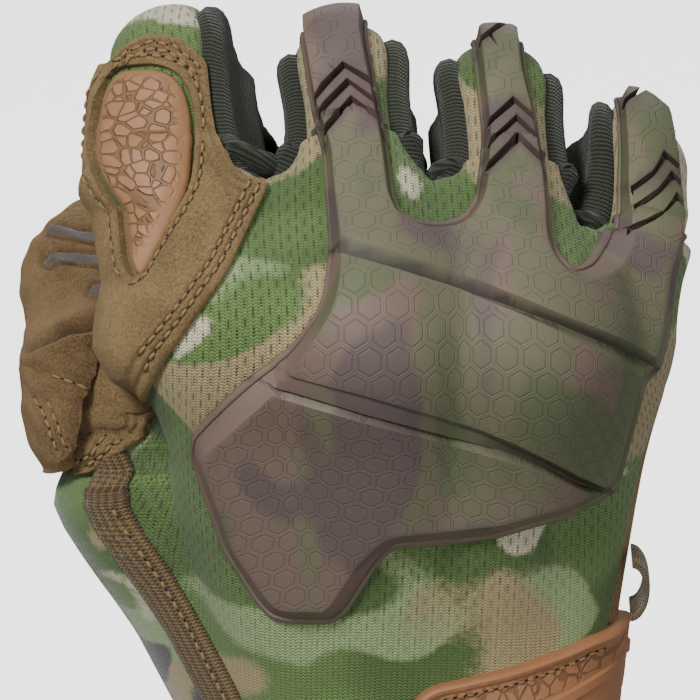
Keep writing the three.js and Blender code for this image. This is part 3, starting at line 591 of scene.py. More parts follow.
def crotch_point(gap, degrees):
    """Places on the web between two fingers, 0 degrees being its back"""
    pa, ta, _, ba, _ = frames(gap, [WEB])
    pb, tb, _, bb, _ = frames(gap + 1, [WEB])
    tangent, back = unit(ta + tb), unit(ba + bb)
    rad = np.radians(degrees)[:, None]
    towards = unit(back * np.cos(rad) + tangent * np.sin(rad))
    return walk(WEB_FORMS[gap], (pa + pb) / 2, towards, 0.0)


def curve(start, leaving, end, arriving, t):
    """The cubic between two places with given slopes there"""
    return (start * (2 * t ** 3 - 3 * t * t + 1) + leaving * (t ** 3 - 2 * t * t + t)
            + end * (-2 * t ** 3 + 3 * t * t) + arriving * (t ** 3 - t * t))


def side_grid(i, side, rows):
    """The side of a finger (-1 towards the thumb), which springs from the web where it has a neighbour"""
    grid = settle(i, rows, fan(i, rows, SIDE_DEGREES if side > 0 else 180 - SIDE_DEGREES), sink(rows))
    inner = (side > 0 and i < 3) or (side < 0 and i > 0)
    if inner and rows[0] == WEB:
        gap = i if side > 0 else i - 1
        crotch = crotch_point(gap, 2 * (45 - SIDE_DEGREES))
        first = int(np.argmax(rows >= CROTCH))
        free = grid[first]
        slope = (grid[first + 1] - grid[first]) / (rows[first + 1] - rows[first])
        towards = unit(crotch_point(gap, np.array([90.0])) - JOINTS[i][1])[0]
        sideways = np.array([-np.sign(towards[0]), 0, 0])
        spring = sideways * np.linalg.norm(free - crotch, axis=1)[:, None] * 0.7
        for r in range(first):
            grid[r] = curve(crotch, spring, free, slope, rows[r] - WEB)
    return grid


SIDE_FINGER = {(i, s): side_grid(i, s, FINGER_ROWS) for i in range(4) for s in (-1, 1)}
SIDE_HAND = {(0, -1): side_grid(0, -1, HAND_ROWS), (3, 1): side_grid(3, 1, HAND_ROWS)}
for (i, s), grid in SIDE_FINGER.items():
    grid[:, 0] = BACK_FINGER[i][:, -1 if s > 0 else 0]
    grid[:, -1] = PALM_FINGER[i][:, -1 if s > 0 else 0]
for (i, s), grid in SIDE_HAND.items():
    grid[:, 0] = BACK_HAND[:, -1 if s > 0 else 0]
    grid[:, -1] = PALM_HAND[:, -1 if s > 0 else 0]


def tip_grid(i, degrees, first):
    """Rings from a finger's last row to its pole"""
    place, tangent, side, back, _ = (a[0] for a in frames(i, [TIP]))
    form = FINGER_FORMS[i][-1][0]
    form = FINGER_FORMS[i][-1][0]
    rad = np.radians(degrees)[:, None]
    flat = side * np.cos(rad) + back * np.sin(rad)
    rows = [first]
    for climb in np.radians(CLIMBS[1:]):
        rows.append(walk(form, place, flat * math.cos(climb) + tangent * math.sin(climb), 0.0))
    return np.stack(rows)


def across_lengths(grid):
    return lengths(grid.swapaxes(0, 1)).T


# Arc-length places (u across, v along) of the hand's back, its fingers and their sides
def back_uv():
    """u from the middle of the hand, v from the cuff"""
    v = lengths(BACK_HAND)
    v = np.broadcast_to(v.mean(1)[:, None], v.shape) * 0.5 + v * 0.5
    u = across_lengths(BACK_HAND)
    u = u - u[:, [2 * BACK_N]]
    return u, v


BACK_U, BACK_V = back_uv()
FINGER_UV = []
for i in range(4):
    u = across_lengths(BACK_FINGER[i])
    u = u - u[:, [BACK_N // 2]] + BACK_U[-1, i * BACK_N + BACK_N // 2]
    v = lengths(BACK_FINGER[i]) + BACK_V[-1, i * BACK_N:(i + 1) * BACK_N + 1][None]
    FINGER_UV.append((u, v))


# Sketches, in mm on the leaning plane
GUARD = [[-22, 172], [-21.7, 158.2], [-19.5, 145.5], [-17, 138], [-15.9, 124], [-17, 115.4],
         [-18.2, 112.2], [-24.6, 102.7], [-38.4, 90.6], [-39, 87.4], [-33.7, 72], [-28.1, 63.6],
         [-25.6, 61], [-22.4, 60.2], [-15.1, 60.2], [-12.7, 62.1], [-7.9, 69.5], [-4.6, 72.7], [2.6, 73.3],
         [12.4, 74.4], [25.2, 77.7], [33.4, 82.2], [37.7, 100.3], [39.8, 102.4], [41, 113.8], [42.5, 130],
         [46, 152], [46, 172], [33, 172], [33.1, 148], [30.5, 133.4], [29.6, 124], [28.2, 121.2],
         [25.3, 120.1], [22.7, 122.9], [21.8, 125.3], [21.1, 135], [19.7, 145], [17.8, 153.3], [17.5, 175],
         [6.5, 175], [7.4, 156.2], [8.8, 141.5], [7.9, 131.7], [6.1, 128.6], [3.5, 127.6], [0.1, 127.8],
         [-2.7, 129], [-3.9, 131.5], [-5.1, 141.2], [-8.3, 158.2], [-8, 172]]
SADDLE = [[-51.9, 152.3], [-49.4, 155.6], [-44.5, 157.6], [-39.6, 156.8], [-34.7, 152.8], [-33.9, 145],
          [-30.6, 136], [-28.5, 133.8], [-24.1, 133.8], [-31.1, 118.7], [-40.8, 105], [-50.8, 91.3],
          [-56, 88.3], [-61.8, 84.1], [-70, 92], [-72, 100], [-72, 120], [-72, 154], [-60, 156]]
PAD = [[-50.9, 148.4], [-50.2, 151.6], [-43, 152], [-38.9, 150], [-37.2, 145.1], [-37.2, 136.9],
       [-37.9, 131.9], [-47.5, 117.2], [-49.2, 119.7], [-50.5, 131.9]]
TAPE_LINE = [[-27.5, -20], [-28.7, 35], [-33.8, 47.8], [-41.6, 62.9], [-49.3, 77.9], [-54.2, 88]]
EDGE_LINE = TAPE_LINE + [[-48, 97], [-38, 110], [-31, 124], [-31, 200]]
TAB = [[-2, 64.5], [1.2, 67.3], [10, 69], [19, 70], [28.6, 70.8], [34.5, 69], [45, 67], [45, 38], [-1, 36],
       [-6, 39], [-8.5, 48], [-7, 58]]
# The first groove is a V, the second a ledge below a low step. Each row is a line across the guard.
GROOVE = dict(top=[[-15.7, 123.1], [-13.5, 124.4], [-4, 121], [4.3, 118.4], [14.2, 114.4], [22.1, 111.1],
                   [30.3, 107.8], [38.8, 103.4]],
              bottom=[[-15.7, 122.3], [-13.5, 121.6], [-4, 119.4], [4.3, 116.4], [14.2, 112.7],
                      [22.2, 109.6], [30.5, 106.1], [39, 102.2]],
              low=[[-15.7, 121], [-13.5, 121], [-4, 118.2], [4.3, 115.7], [14.1, 111.8], [22.1, 108.2],
                   [30.4, 103.9], [38.5, 99.4]])
LEDGE = dict(top=[[-26.4, 103.2], [-24, 102.6], [-16.6, 100.6], [-9.3, 98.7], [3.4, 95], [8.7, 93.4],
                  [14.1, 91.2], [19.5, 88.5], [25.2, 85.4], [33, 81.9]],
             low=[[-26.4, 103], [-24, 102.3], [-16.6, 100.2], [-9.3, 98.1], [3.5, 94.1], [8.8, 92.1],
                  [14.1, 89.4], [19.6, 87.2], [25.3, 84.4], [33, 81.6]],
             foot=[[-26.4, 100.6], [-24, 99.8], [-16.6, 97.6], [-9.3, 95.4], [3.4, 92], [8.8, 90.3],
                   [14.2, 88.5], [19.6, 86.5], [25.3, 83.8], [32.9, 81.4]],
             out=[[-26.4, 99.4], [-24, 98.7], [-16.6, 96.5], [-9.3, 94.4], [3.5, 91], [8.8, 89.5],
                  [14.1, 87.9], [19.6, 86], [25.3, 83.2], [32.9, 80.8]])
# Upper and lower edge of each chevron's channel
CHEVRONS = [
    ([[-18.6, 145.0], [-16.5, 148.9], [-13.1, 152.5], [-7.9, 149.4], [-5.6, 145.6]],
     [[-18.6, 144.4], [-15.9, 147.7], [-12.7, 151.3], [-7.7, 147.9], [-5.6, 145]]),
    ([[-18.2, 142.4], [-16, 145.9], [-12.4, 149.7], [-6.9, 145.6], [-5, 142.5]],
     [[-18.2, 141], [-15.6, 144.5], [-11.9, 148.5], [-6.8, 144.4], [-5, 141.9]]),
    ([[-17.8, 138.9], [-15.5, 142.4], [-11.8, 146.8], [-6.1, 142.5], [-4.1, 138.9]],
     [[-17.8, 137.8], [-15, 141.2], [-11.4, 145.5], [-6, 141.3], [-4.1, 138.3]]),
    ([[8.2, 140.9], [14.5, 146.9], [19.8, 142.1]],
     [[8.2, 139.9], [14.8, 145.6], [19.8, 141]]),
    ([[8.6, 137.7], [15, 143.9], [20.1, 138.9]],
     [[8.6, 136.6], [15, 142.6], [20.1, 137.8]]),
    ([[8.6, 134.1], [15.1, 140.9], [20.3, 135.6]],
     [[8.6, 132.6], [15.4, 139.2], [20.3, 134.3]]),
    ([[33.1, 132.6], [36.7, 135.2], [39.3, 138.5], [44, 133.2]],
     [[33.1, 131.6], [36.7, 134.2], [39.4, 136.9], [44, 131.8]]),
    ([[32.6, 129.3], [36.7, 132.2], [39.6, 135.2], [44, 129]],
     [[32.6, 128.3], [36.8, 131.2], [39.7, 133.6], [44, 127]]),
    ([[32, 126], [36.5, 128.3], [39.5, 131.7], [43.6, 124.6]],
     [[32, 124.8], [36.1, 127.4], [39.3, 130.1], [43.6, 123]]),
]
# The second sets lie past the horizon, where up is counted along the surface: middle and top of each
FAR_CHEVRONS = [(14.4, 167.0), (40.6, 157.5), (-14.2, 173.5)]
FAR_PITCH, FAR_REACH, FAR_FALL = 3.1, 6.4, 5
for x, top in FAR_CHEVRONS:
    for y in [top - FAR_PITCH * k for k in range(3)]:
        upper = [[x - FAR_REACH, y - FAR_FALL], [x, y], [x + FAR_REACH, y - FAR_FALL]]
        lower = [[x - FAR_REACH, y - 6.1], [x, y - 1.3], [x + FAR_REACH, y - 6.1]]
        CHEVRONS.append((upper, lower))


def to_line(points, line, closed=False):
    """Distance from points to a broken line"""
    line = np.asarray(line, float)
    ends = np.roll(line, -1, axis=0) if closed else line[1:]
    best = np.full(len(points), np.inf)
    for a, b in zip(line, ends):
        ab = b - a
        t = np.clip(((points - a) @ ab) / max(ab @ ab, 1e-9), 0, 1)
        best = np.minimum(best, np.linalg.norm(points - a - t[:, None] * ab, axis=1))
    return best


def inside(points, outline):
    """Which points lie inside an outline"""
    outline = np.asarray(outline, float)
    hit = np.zeros(len(points), bool)
    for a, b in zip(outline, np.roll(outline, -1, axis=0)):
        crosses = (a[1] > points[:, 1]) != (b[1] > points[:, 1])
        with np.errstate(divide="ignore", invalid="ignore"):
            x = a[0] + (points[:, 1] - a[1]) * (b[0] - a[0]) / (b[1] - a[1])
        hit ^= crosses & (points[:, 0] < x)
    return hit


def room(points, outline):
    """Distance to an outline, positive inside it"""
    far = to_line(points, outline, closed=True)
    return np.where(inside(points, outline), far, -far)


CORNER_STEPS = np.linspace(0, 1, 5)


def rounded(outline, radius):
    """An outline with its corners rounded off"""
    points = np.asarray(outline, float)
    out = []
    for k, p in enumerate(points):
        a, b = points[k - 1], points[(k + 1) % len(points)]
        start, end = (p + unit(q - p) * min(radius, np.linalg.norm(q - p) * 0.45) for q in (a, b))
        for t in CORNER_STEPS:
            out.append(start * (1 - t) ** 2 + p * 2 * t * (1 - t) + end * t * t)
    return np.array(out)


def side_of(points, line):
    """Distance to a line that runs up the plane, positive to its right"""
    line = np.asarray(line, float)
    far = to_line(points, line)
    x = np.interp(points[:, 1], line[:, 1], line[:, 0])
    return np.where(points[:, 0] > x, far, -far)


# Full columns, cuff to fingertip
def joined(a, b):
    return np.concatenate([a, b[1:]])


def full_back(i):
    """Finger i's column of the back, from the cuff to the fingertip, with its flat places"""
    columns = slice(i * BACK_N, (i + 1) * BACK_N + 1)
    grid = joined(BACK_HAND[:, columns], BACK_FINGER[i])
    u = joined(BACK_U[:, columns], FINGER_UV[i][0])
    v = joined(BACK_V[:, columns], FINGER_UV[i][1])
    return grid, u, v


ROWS = joined(HAND_ROWS, FINGER_ROWS)
FULL_BACK = [full_back(i) for i in range(4)]


def beside(grid, u, v, side):
    """A side grid with its flat places, counted on from the edge of the back's"""
    column = -1 if side > 0 else 0
    v = np.broadcast_to(v[:, [column]], grid.shape[:2])
    return grid, u[:, [column]] + side * across_lengths(grid), v


def full_side(i, side):
    return beside(joined(SIDE_HAND[i, side], SIDE_FINGER[i, side]), *FULL_BACK[i][1:], side)


FULL_SIDE = {(0, -1): full_side(0, -1), (3, 1): full_side(3, 1)}


def grid_normals(grid):
    return unit(np.cross(np.gradient(grid, axis=1), np.gradient(grid, axis=0)))


def layer_values(grid, height):
    """Sketch places of a layer over a grid, with the way up the plane unrolled past the horizon"""
    raised = grid + grid_normals(grid) * height
    x, up, depth = sketch(raised)
    return dict(x=x, up=unrolled(up, lengths(raised)), depth=depth)


def rolled_out(x, run):
    """Across the plane as far as the index finger's edge, and from there on along its surface"""
    out = x.copy()
    for row in range(len(x)):
        edge = int(np.argmin(x[row, :10]))
        out[row, edge:] = x[row, edge] - (run[row, edge:] - run[row, edge])
    return out


# Extra cuts through the wide cells between the hand and the thumb's root: value, from, to, step
FINER = (("x", -62, -37, 1.1), ("up", 66, 112, 1.5))
ROOT_RIGHT, ROOT_TOP = -36, 114


def domain(parts, height, finer=False, rolled=False):
    """A sheet of whole columns. parts lists (grid, u, v, flip)."""
    sheet = Sheet()
    for grid, u, v, flip in parts:
        values = layer_values(grid, height if not flip else -height)
        if rolled and flip:
            values["x"] = rolled_out(values["x"], across_lengths(grid))
        sheet.add_grid(grid, np.stack([u, v], -1), flip=flip, **values)
    if finer:
        for name, low, high, step in FINER:
            for at in np.arange(low, high, step):
                near = (sheet.values["x"] < ROOT_RIGHT) & (sheet.values["up"] < ROOT_TOP)
                sheet.cut(name, at, snap=0.1, where=near)
    return sheet


BACK_PARTS = [(*FULL_BACK[i], False) for i in range(4)]
INDEX_SIDE = (*FULL_SIDE[0, -1], True)
LITTLE_SIDE = (*FULL_SIDE[3, 1], False)


def columns(part, low, high):
    """Some columns of a part (grid, u, v, flip)"""
    return tuple(a[:, low:high] for a in part[:3]) + (part[3],)


def rows_of(part, low, high):
    """Some rows of a part"""
    return tuple(a[low:high] for a in part[:3]) + (part[3],)


# Knuckle guard
GUARD_TOP, CHANNEL_FLOOR, GROOVE_FLOOR = 3.1, 1.25, 1.3
GROOVE_FLAT, WALL_RUN, SHELF_FALL, OUTSIDE = 0.25, 0.12, 0.15, 9
# The guard and the index finger's layers lie on what is higher than this over the plane
GUARD_FROM, LAYER_FROM = 34, 26
# Height of the guard's edge by the distance from its outline: a lip, a dip and the rise to the plateau
EDGE_HEIGHTS = [[0, 0.45], [0.35, 0.75], [0.7, 0.85], [0.95, 0.62], [1.15, 0.8], [3.3, GUARD_TOP - 0.1],
                [3.7, GUARD_TOP], [100, GUARD_TOP]]


def along_line(x, line):
    """Height of a broken line at x"""
    line = np.asarray(line, float)
    return np.interp(x, line[:, 0], line[:, 1])


def line_cut(sheet, line, shifts=(0.0,), ends=True):
    """Cuts a sheet along a line drawn across the plane, moved up by each of the shifts"""
    close, snap = 2.5, 0.02
    for corner in [p[0] for p in line[(0 if ends else 1):(len(line) if ends else -1)]]:
        x = sheet.values["x"]
        near = (np.abs(sheet.values["up"] - along_line(x, line)) < 4) & (np.abs(x - corner) < close)
        sheet.values["line"] = x - corner
        sheet.cut("line", 0.0, snap, where=near)
    low, high = line[0][0] - 0.01, line[-1][0] + 0.01
    for shift in shifts:
        x = sheet.values["x"]
        sheet.values["line"] = sheet.values["up"] - along_line(x, line) - shift
        near = (x > low) & (x < high) & (np.abs(sheet.values["line"]) < close)
        sheet.cut("line", 0.0, snap, where=near)


def guard_sheet():
    """The guard's outline cut out of the back, with edges along its grooves and chevrons"""
    sides = [(*beside(SIDE_FINGER[i, side][:, :6], *FINGER_UV[i], side), side < 0)
             for i, side in ((1, -1), (1, 1), (2, -1), (2, 1), (3, -1))]
    sheet = domain(BACK_PARTS + sides + [columns(LITTLE_SIDE, 0, 7)], GUARD_TOP).weld()
    sheet.note_normals()
    d = room(sheet.place(), rounded(GUARD, 1.2))
    # beyond the lip the edge rises more steeply on the tongues than on the hand
    lip = EDGE_HEIGHTS[4][0]
    steep = 1 + 1.1 * smoothstep(sheet.values["up"], 118, 132)
    d = np.where(d > lip, lip + (d - lip) * steep, d)
    sheet.values["d"] = np.minimum(d, sheet.values["depth"] - GUARD_FROM)
    sheet.trim("d", [at for at, _ in EDGE_HEIGHTS[1:-1]])
    for row, shifts in (("top", (0.0,)), ("bottom", (0.0, GROOVE_FLAT)), ("low", (0.0,))):
        line_cut(sheet, GROOVE[row], shifts, ends=False)
    for row, shifts in (("top", (0.0,)), ("low", (0.0,)), ("foot", (0.0, -WALL_RUN)), ("out", (0.0,))):
        line_cut(sheet, LEDGE[row], shifts, ends=False)
    for upper, lower in CHEVRONS:
        line_cut(sheet, upper, (0.0, -WALL_RUN))
        line_cut(sheet, lower, (0.0, WALL_RUN))
    return sheet


def below(up, top, low, least):
    """How far up lies on the way down from top to low, 0 to 1"""
    return np.clip((top - up) / np.maximum(top - low, least), 0, 1)


def groove_height(x, up):
    """Height of the V groove, OUTSIDE beyond it, and the shade painted into it"""
    top, bottom, low = (along_line(x, GROOVE[k]) for k in ("top", "bottom", "low"))
    floor = GROOVE_FLOOR + 0.5 * smoothstep(x, 10, 36)
    rise = np.clip((up - bottom - GROOVE_FLAT) / np.maximum(top - bottom - GROOVE_FLAT, 0.1), 0, 1)
    cut = np.where(up > bottom + GROOVE_FLAT, rise, np.where(up < bottom, below(up, bottom, low, 0.1), 0.0))
    groove = floor + (GUARD_TOP - floor) * cut
    groove[(up > top) | (up < low)] = OUTSIDE
    fall = GUARD_TOP - groove
    return groove, 0.85 * smoothstep(fall, 0.1, 0.8) * (up > bottom) + 0.3 * smoothstep(fall, 0.3, 1.5)


def ledge_height(x, up):
    """Height of the ledge, OUTSIDE beyond it, and the shade painted into it. To the left it lies high and
    drops to a sunken cut, to the right the step above it is the sunken one."""
    top, low, foot, out = (along_line(x, LEDGE[k]) for k in ("top", "low", "foot", "out"))
    right = smoothstep(x, 3, 17)
    shelf = GUARD_TOP - 0.55 - 1.1 * right
    pit = GUARD_TOP - 1.9 + 0.5 * right
    edge = GUARD_TOP - (GUARD_TOP - shelf) * below(up, top, low, 0.05)
    flat = shelf - SHELF_FALL * below(up, low, foot, 0.05)
    wall = pit + (shelf - SHELF_FALL - pit) * np.clip((up - foot + WALL_RUN) / WALL_RUN, 0, 1)
    rise = pit + (GUARD_TOP - pit) * below(up, foot, out, 0.1)
    step = np.select([up > low, up > foot, up > foot - WALL_RUN], [edge, flat, wall], rise)
    step[(up > top) | (up < out)] = OUTSIDE
    return step, 0.75 * smoothstep(GUARD_TOP - step, 0.5, 1.5) + 0.3 * (step < OUTSIDE) * (up > low)


def guard_height(sheet):
    """The guard's height above its foot. Also notes where it is a plateau and banded, and the shade painted
    into its grooves.
    """
    x, up, d = (sheet.values[k] for k in ("x", "up", "d"))
    high = along_line(d, EDGE_HEIGHTS)
    flat = smoothstep(d, 3.0, 3.8)
    deep = np.zeros(len(x))
    # dark is the shade painted into the groove and the ledge, added up
    for cut, dark in (groove_height(x, up), ledge_height(x, up)):
        high = np.minimum(high, cut)
        flat *= cut == OUTSIDE
        deep += dark
    bands = np.zeros(len(x))
    for upper, lower in CHEVRONS:
        a, b = along_line(x, upper), along_line(x, lower)
        depth = np.clip(np.minimum(a - up, up - b) / WALL_RUN, 0, 1)
        depth[(x < upper[0][0]) | (x > upper[-1][0])] = 0
        high = np.where(depth > 0, np.minimum(high, high + (CHANNEL_FLOOR - high) * depth), high)
        aside = np.abs(x - (upper[0][0] + upper[-1][0]) / 2)
        flat[(aside < 8) & (up < a + 1.2) & (up > b - 1.6)] = 0
        spread = smoothstep(up - b, -1.6, 0) * smoothstep(a - up, -1.2, 0) * (aside < 9)
        bands = np.maximum(bands, spread * smoothstep(up, 130, 134))
    sheet.values.update(plateau=flat, bands=bands, deep=np.clip(deep, 0, 1))
    return np.maximum(high, 0.35)


# How far the photograph's outline lies outside the plain form: up the plane, to the left and to the right
LEFT_OUT = [[58, 0], [64, 1], [67, 1.6], [71, 2.3], [76, 2.9], [80, 2.6], [83, 0.6], [86, -2.2],
            [90, -2.0], [94, -1.6], [98, -1.1], [102, -0.4], [106, 1.3], [109, 1], [113, 0], [117, -1.2],
            [128, -1], [131, 1.2], [134, 2.8], [138, 4.0], [142, 3.8], [147, 2.6], [152, 0.2], [156, 0]]
RIGHT_OUT = [[100, 0], [107, 1.3], [117, 1.8], [121, 2.4], [128, 2.8], [132, 1.7], [137, 0.4], [142, -1.0],
             [147, -2.4], [151, -1], [156, 0]]


def fitted(pos):
    """Moves the hand's two sides out to the photograph's outline"""
    x, up, depth = sketch(pos)
    front = smoothstep(depth, 8, 26)
    left = np.interp(up, *np.array(LEFT_OUT).T) * smoothstep(-x, 36, 52)
    right = np.interp(up, *np.array(RIGHT_OUT).T) * smoothstep(x, 22, 40)
    out = pos.copy()
    out[:, 0] += (right - left) * front
    return out


def piece(name, sheet, material, replaces=(), slot=None, smooth_angle=40, attributes=()):
    """Makes the Blender object of a sheet, in metres, with the named values as attributes"""
    mesh = bpy.data.meshes.new(name)
    mesh.vertices.add(len(sheet.pos))
    mesh.vertices.foreach_set("co", (fitted(sheet.pos) * 0.001).astype(np.float32).ravel())
    mesh.loops.add(len(sheet.tris) * 3)
    mesh.loops.foreach_set("vertex_index", sheet.tris.astype(np.int32).ravel())
    mesh.polygons.add(len(sheet.tris))
    mesh.polygons.foreach_set("loop_start", np.arange(0, len(sheet.tris) * 3, 3, dtype=np.int32))
    layer = mesh.uv_layers.new(name="UVMap")
    layer.data.foreach_set("uv", (sheet.uv[sheet.tris.ravel()] * 0.1).astype(np.float32).ravel())
    mesh.update()
    mesh.validate()
    mesh.polygons.foreach_set("use_smooth", np.full(len(mesh.polygons), True))
    if smooth_angle:
        mesh.set_sharp_from_angle(angle=math.radians(smooth_angle))
    for key in attributes:
        layer = mesh.attributes.new(key, "FLOAT", "POINT")
        layer.data.foreach_set("value", sheet.values[key].astype(np.float32))
    mesh.materials.append(material)
    obj = bpy.data.objects.new(name, mesh)
    bpy.context.scene.collection.objects.link(obj)
    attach(obj, "root")
    if replaces:
        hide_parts(*replaces)
    return obj


# Materials
def srgb(*values):
    """A linear colour from its three values of 0 to 255"""
    shares = [c / 255 for c in values]
    return tuple(c / 12.92 if c <= 0.04 else ((c + 0.055) / 1.055) ** 2.4 for c in shares) + (1.0,)


class Shader:
    """A node tree in which sockets are combined like numbers"""

    def __init__(self, name):
        self.material = bpy.data.materials.new(name)
        self.material.use_nodes = True
        self.tree = self.material.node_tree
        self.bsdf = next(n for n in self.tree.nodes if n.type == "BSDF_PRINCIPLED")
        self.bsdf.inputs["Specular IOR Level"].default_value = 0.35

    def feed(self, socket, value):
        if isinstance(value, bpy.types.NodeSocket):
            self.tree.links.new(value, socket)
        elif isinstance(value, (int, float)) and hasattr(socket.default_value, "__len__"):
            socket.default_value = [value] * len(socket.default_value)
        else:
            socket.default_value = value

    def node(self, kind, output=0, inputs=(), **settings):
        node = self.tree.nodes.new(kind)
        for k, v in settings.items():
            setattr(node, k, v)
        for k, v in dict(inputs).items():
            self.feed(node.inputs[k], v)
        return node.outputs[output]

    def math(self, operation, *values, clamp=False):
        return self.node("ShaderNodeMath", inputs=enumerate(values), operation=operation, use_clamp=clamp)

    def add(self, a, b):
        return self.math("ADD", a, b)

    def mul(self, a, b):
        return self.math("MULTIPLY", a, b)

    def sub(self, a, b):
        return self.math("SUBTRACT", a, b)

    def wave(self, value, period):
        """A sine along a value"""
        return self.math("SINE", self.mul(value, 2 * math.pi / period))

    def apart(self, value, where):
        """How far a value is from where"""
        return self.math("ABSOLUTE", self.sub(value, where))

    def cell(self, value, size, shift=0.0):
        """Way from the middle of the nearest of even steps along a value"""
        return self.mul(self.sub(self.math("FRACT", self.add(self.mul(value, 1 / size), shift)), 0.5), size)

    def read(self, name):
        """A named value of the mesh"""
        return self.node("ShaderNodeAttribute", 2, attribute_name=name)

    def scaled(self, vector, factor):
        return self.node("ShaderNodeVectorMath", inputs=[(0, vector), ("Scale", factor)], operation="SCALE")

    def moved(self, vector, offset):
        return self.node("ShaderNodeVectorMath", inputs=[(0, vector), (1, offset)], operation="ADD")

    def split(self, vector):
        node = self.tree.nodes.new("ShaderNodeSeparateXYZ")
        self.feed(node.inputs[0], vector)
        return tuple(node.outputs)

    def ramp(self, value, low, high, to=(0.0, 1.0)):
        return self.node("ShaderNodeMapRange", inputs={"Value": value, "From Min": low, "From Max": high,
                                                       "To Min": to[0], "To Max": to[1]},
                         interpolation_type="SMOOTHSTEP")

    def mix(self, share, a, b, blend="MIX"):
        node = self.tree.nodes.new("ShaderNodeMix")
        node.data_type, node.blend_type = "RGBA", blend
        self.feed(node.inputs[0], share)
        self.feed(node.inputs[6], a)
        self.feed(node.inputs[7], b)
        return node.outputs[2]

    def shaded(self, color, value):
        """A colour times a plain value"""
        node = self.tree.nodes.new("ShaderNodeCombineXYZ")
        for socket in node.inputs:
            self.feed(socket, value)
        return self.mix(1.0, color, node.outputs[0], "MULTIPLY")

    def blend(self, share, a, b):
        """The plain value a where share is 0, b where it is 1"""
        return self.add(self.mul(self.sub(1.0, share), a), self.mul(share, b))

    def body(self, scale=1000.0, offset=(0, 0, 0), stretch=(1, 1, 1)):
        """Place on the object, in mm by default"""
        at = self.node("ShaderNodeTexCoord", "Object")
        return self.node("ShaderNodeMapping", inputs={"Vector": at, "Location": offset,
                                                      "Scale": tuple(scale * s for s in stretch)})

    def flat(self):
        """Place on the sheet (u, v), in mm, and both as one vector"""
        at = self.scaled(self.node("ShaderNodeUVMap", uv_map="UVMap"), 10.0)
        return *self.split(at)[:2], at

    def noise(self, vector, scale, detail=2.0, roughness=0.5, distortion=0.0, output=0):
        return self.node("ShaderNodeTexNoise", output, {"Vector": vector, "Scale": scale, "Detail": detail,
                                                        "Roughness": roughness, "Distortion": distortion})

    def voronoi(self, vector, scale, randomness):
        """Distance to the nearest edge between cells"""
        inputs = {"Vector": vector, "Scale": scale, "Randomness": randomness}
        return self.node("ShaderNodeTexVoronoi", "Distance", inputs, feature="DISTANCE_TO_EDGE")

    def bump(self, height, distance, strength):
        inputs = {"Height": height, "Distance": distance, "Strength": strength}
        return self.node("ShaderNodeBump", inputs=inputs)

    def finish(self, color, roughness, normal=None, sheen=0.0, sheen_tint=(1, 1, 1, 1)):
        self.feed(self.bsdf.inputs["Base Color"], color)
        self.feed(self.bsdf.inputs["Roughness"], roughness)
        if normal is not None:
            self.feed(self.bsdf.inputs["Normal"], normal)
        if sheen:
            self.bsdf.inputs["Sheen Weight"].default_value = sheen
            self.bsdf.inputs["Sheen Roughness"].default_value = 0.45
            self.bsdf.inputs["Sheen Tint"].default_value = sheen_tint
        return self.material


GREEN, LEAF, PALE = srgb(90, 114, 62), srgb(74, 96, 50), srgb(134, 152, 106)
TAN, CREAM, DARK = srgb(150, 136, 100), srgb(184, 178, 152), srgb(66, 64, 66)


def camouflage(s, shift=(0, 0, 0), size=1.0, dark=0.5):
    """Blotches of green, pale green, tan, cream and grey with soft, slightly ragged edges"""
    at = s.body(1000 / size, offset=shift, stretch=(1, 1, 1.2))
    wander = s.mul(s.sub(s.noise(at, 0.9), 0.5), 0.035)

    def blot(scale, offset, low, high, share=1.0):
        tone = s.noise(s.moved(at, offset), scale, detail=0.8, distortion=0.3)
        return s.ramp(s.add(tone, wander), low, high, (0, share))

    color = s.mix(blot(0.03, (40, 7, 90), 0.45, 0.55), GREEN, LEAF)
    color = s.mix(blot(0.034, (0, 31, 5), 0.56, 0.60), color, PALE)
    color = s.mix(blot(0.03, (71, 3, 44), 0.55, 0.58), color, TAN)
    color = s.mix(blot(0.045, (13, 58, 27), 0.67, 0.70), color, CREAM)
    if dark:
        color = s.mix(blot(0.05, (5, 17, 63), 0.56, 0.59, dark), color, DARK)
    return color


def hole_groups(s, u, v, pitch=1.35, rise=3.0):
    """Short upright rows of three small holes, every other column half a step higher"""
    hole_step, hole_far = 0.52, 0.78

    def group(shift):
        x, y = s.cell(u, 2 * pitch, shift), s.cell(v, rise, shift)
        near = s.cell(y, hole_step)
        far = s.math("SQRT", s.add(s.mul(x, x), s.mul(near, near)))
        return s.mul(s.ramp(far, 0.27, 0.10), s.math("LESS_THAN", s.math("ABSOLUTE", y), hole_far))

    return s.math("MAXIMUM", group(0.0), group(0.5))


def mesh_knit():
    """Camouflage knit of fine braided columns with small holes darkened with painted shade, which close
    towards the cuff
    """
    s = Shader("camo_mesh_knit")
    u, v, at = s.flat()
    column, row = 0.9, 0.55
    across = s.apart(s.mul(s.math("FRACT", s.mul(u, 1 / column)), 2.0), 1.0)
    phase = s.math("FRACT", s.add(s.mul(v, 1 / row), s.mul(across, 0.6)))
    thread = s.math("SINE", s.mul(phase, math.pi))
    groove = s.ramp(across, 0.7, 1.0)
    open_mesh = s.ramp(s.split(s.body())[2], 62.0, 92.0)
    hole = s.mul(hole_groups(s, u, v), open_mesh)
    height = s.sub(s.sub(s.mul(thread, 0.6), s.mul(groove, 0.3)), s.mul(hole, 1.2))
    fuzz = s.noise(at, 2.6, detail=3.0)
    # painted light and shade: the thread darker in its dips and lighter on its crowns, and darker in the
    # grooves between columns; the fuzz is a random tone
    shade = s.mul(s.ramp(thread, 0.0, 0.9, (0.55, 1.12)), s.ramp(fuzz, 0.25, 0.75, (0.84, 1.12)))
    shade = s.mul(shade, s.ramp(groove, 0.0, 1.0, (1.0, 0.78)))
    color = s.shaded(camouflage(s, dark=0.0), shade)
    # painted shade in the holes
    color = s.mix(s.mul(hole, 0.72), color, srgb(24, 32, 18))
    return s.finish(color, 0.9, s.bump(height, 0.00025, 0.8), sheen=0.12)


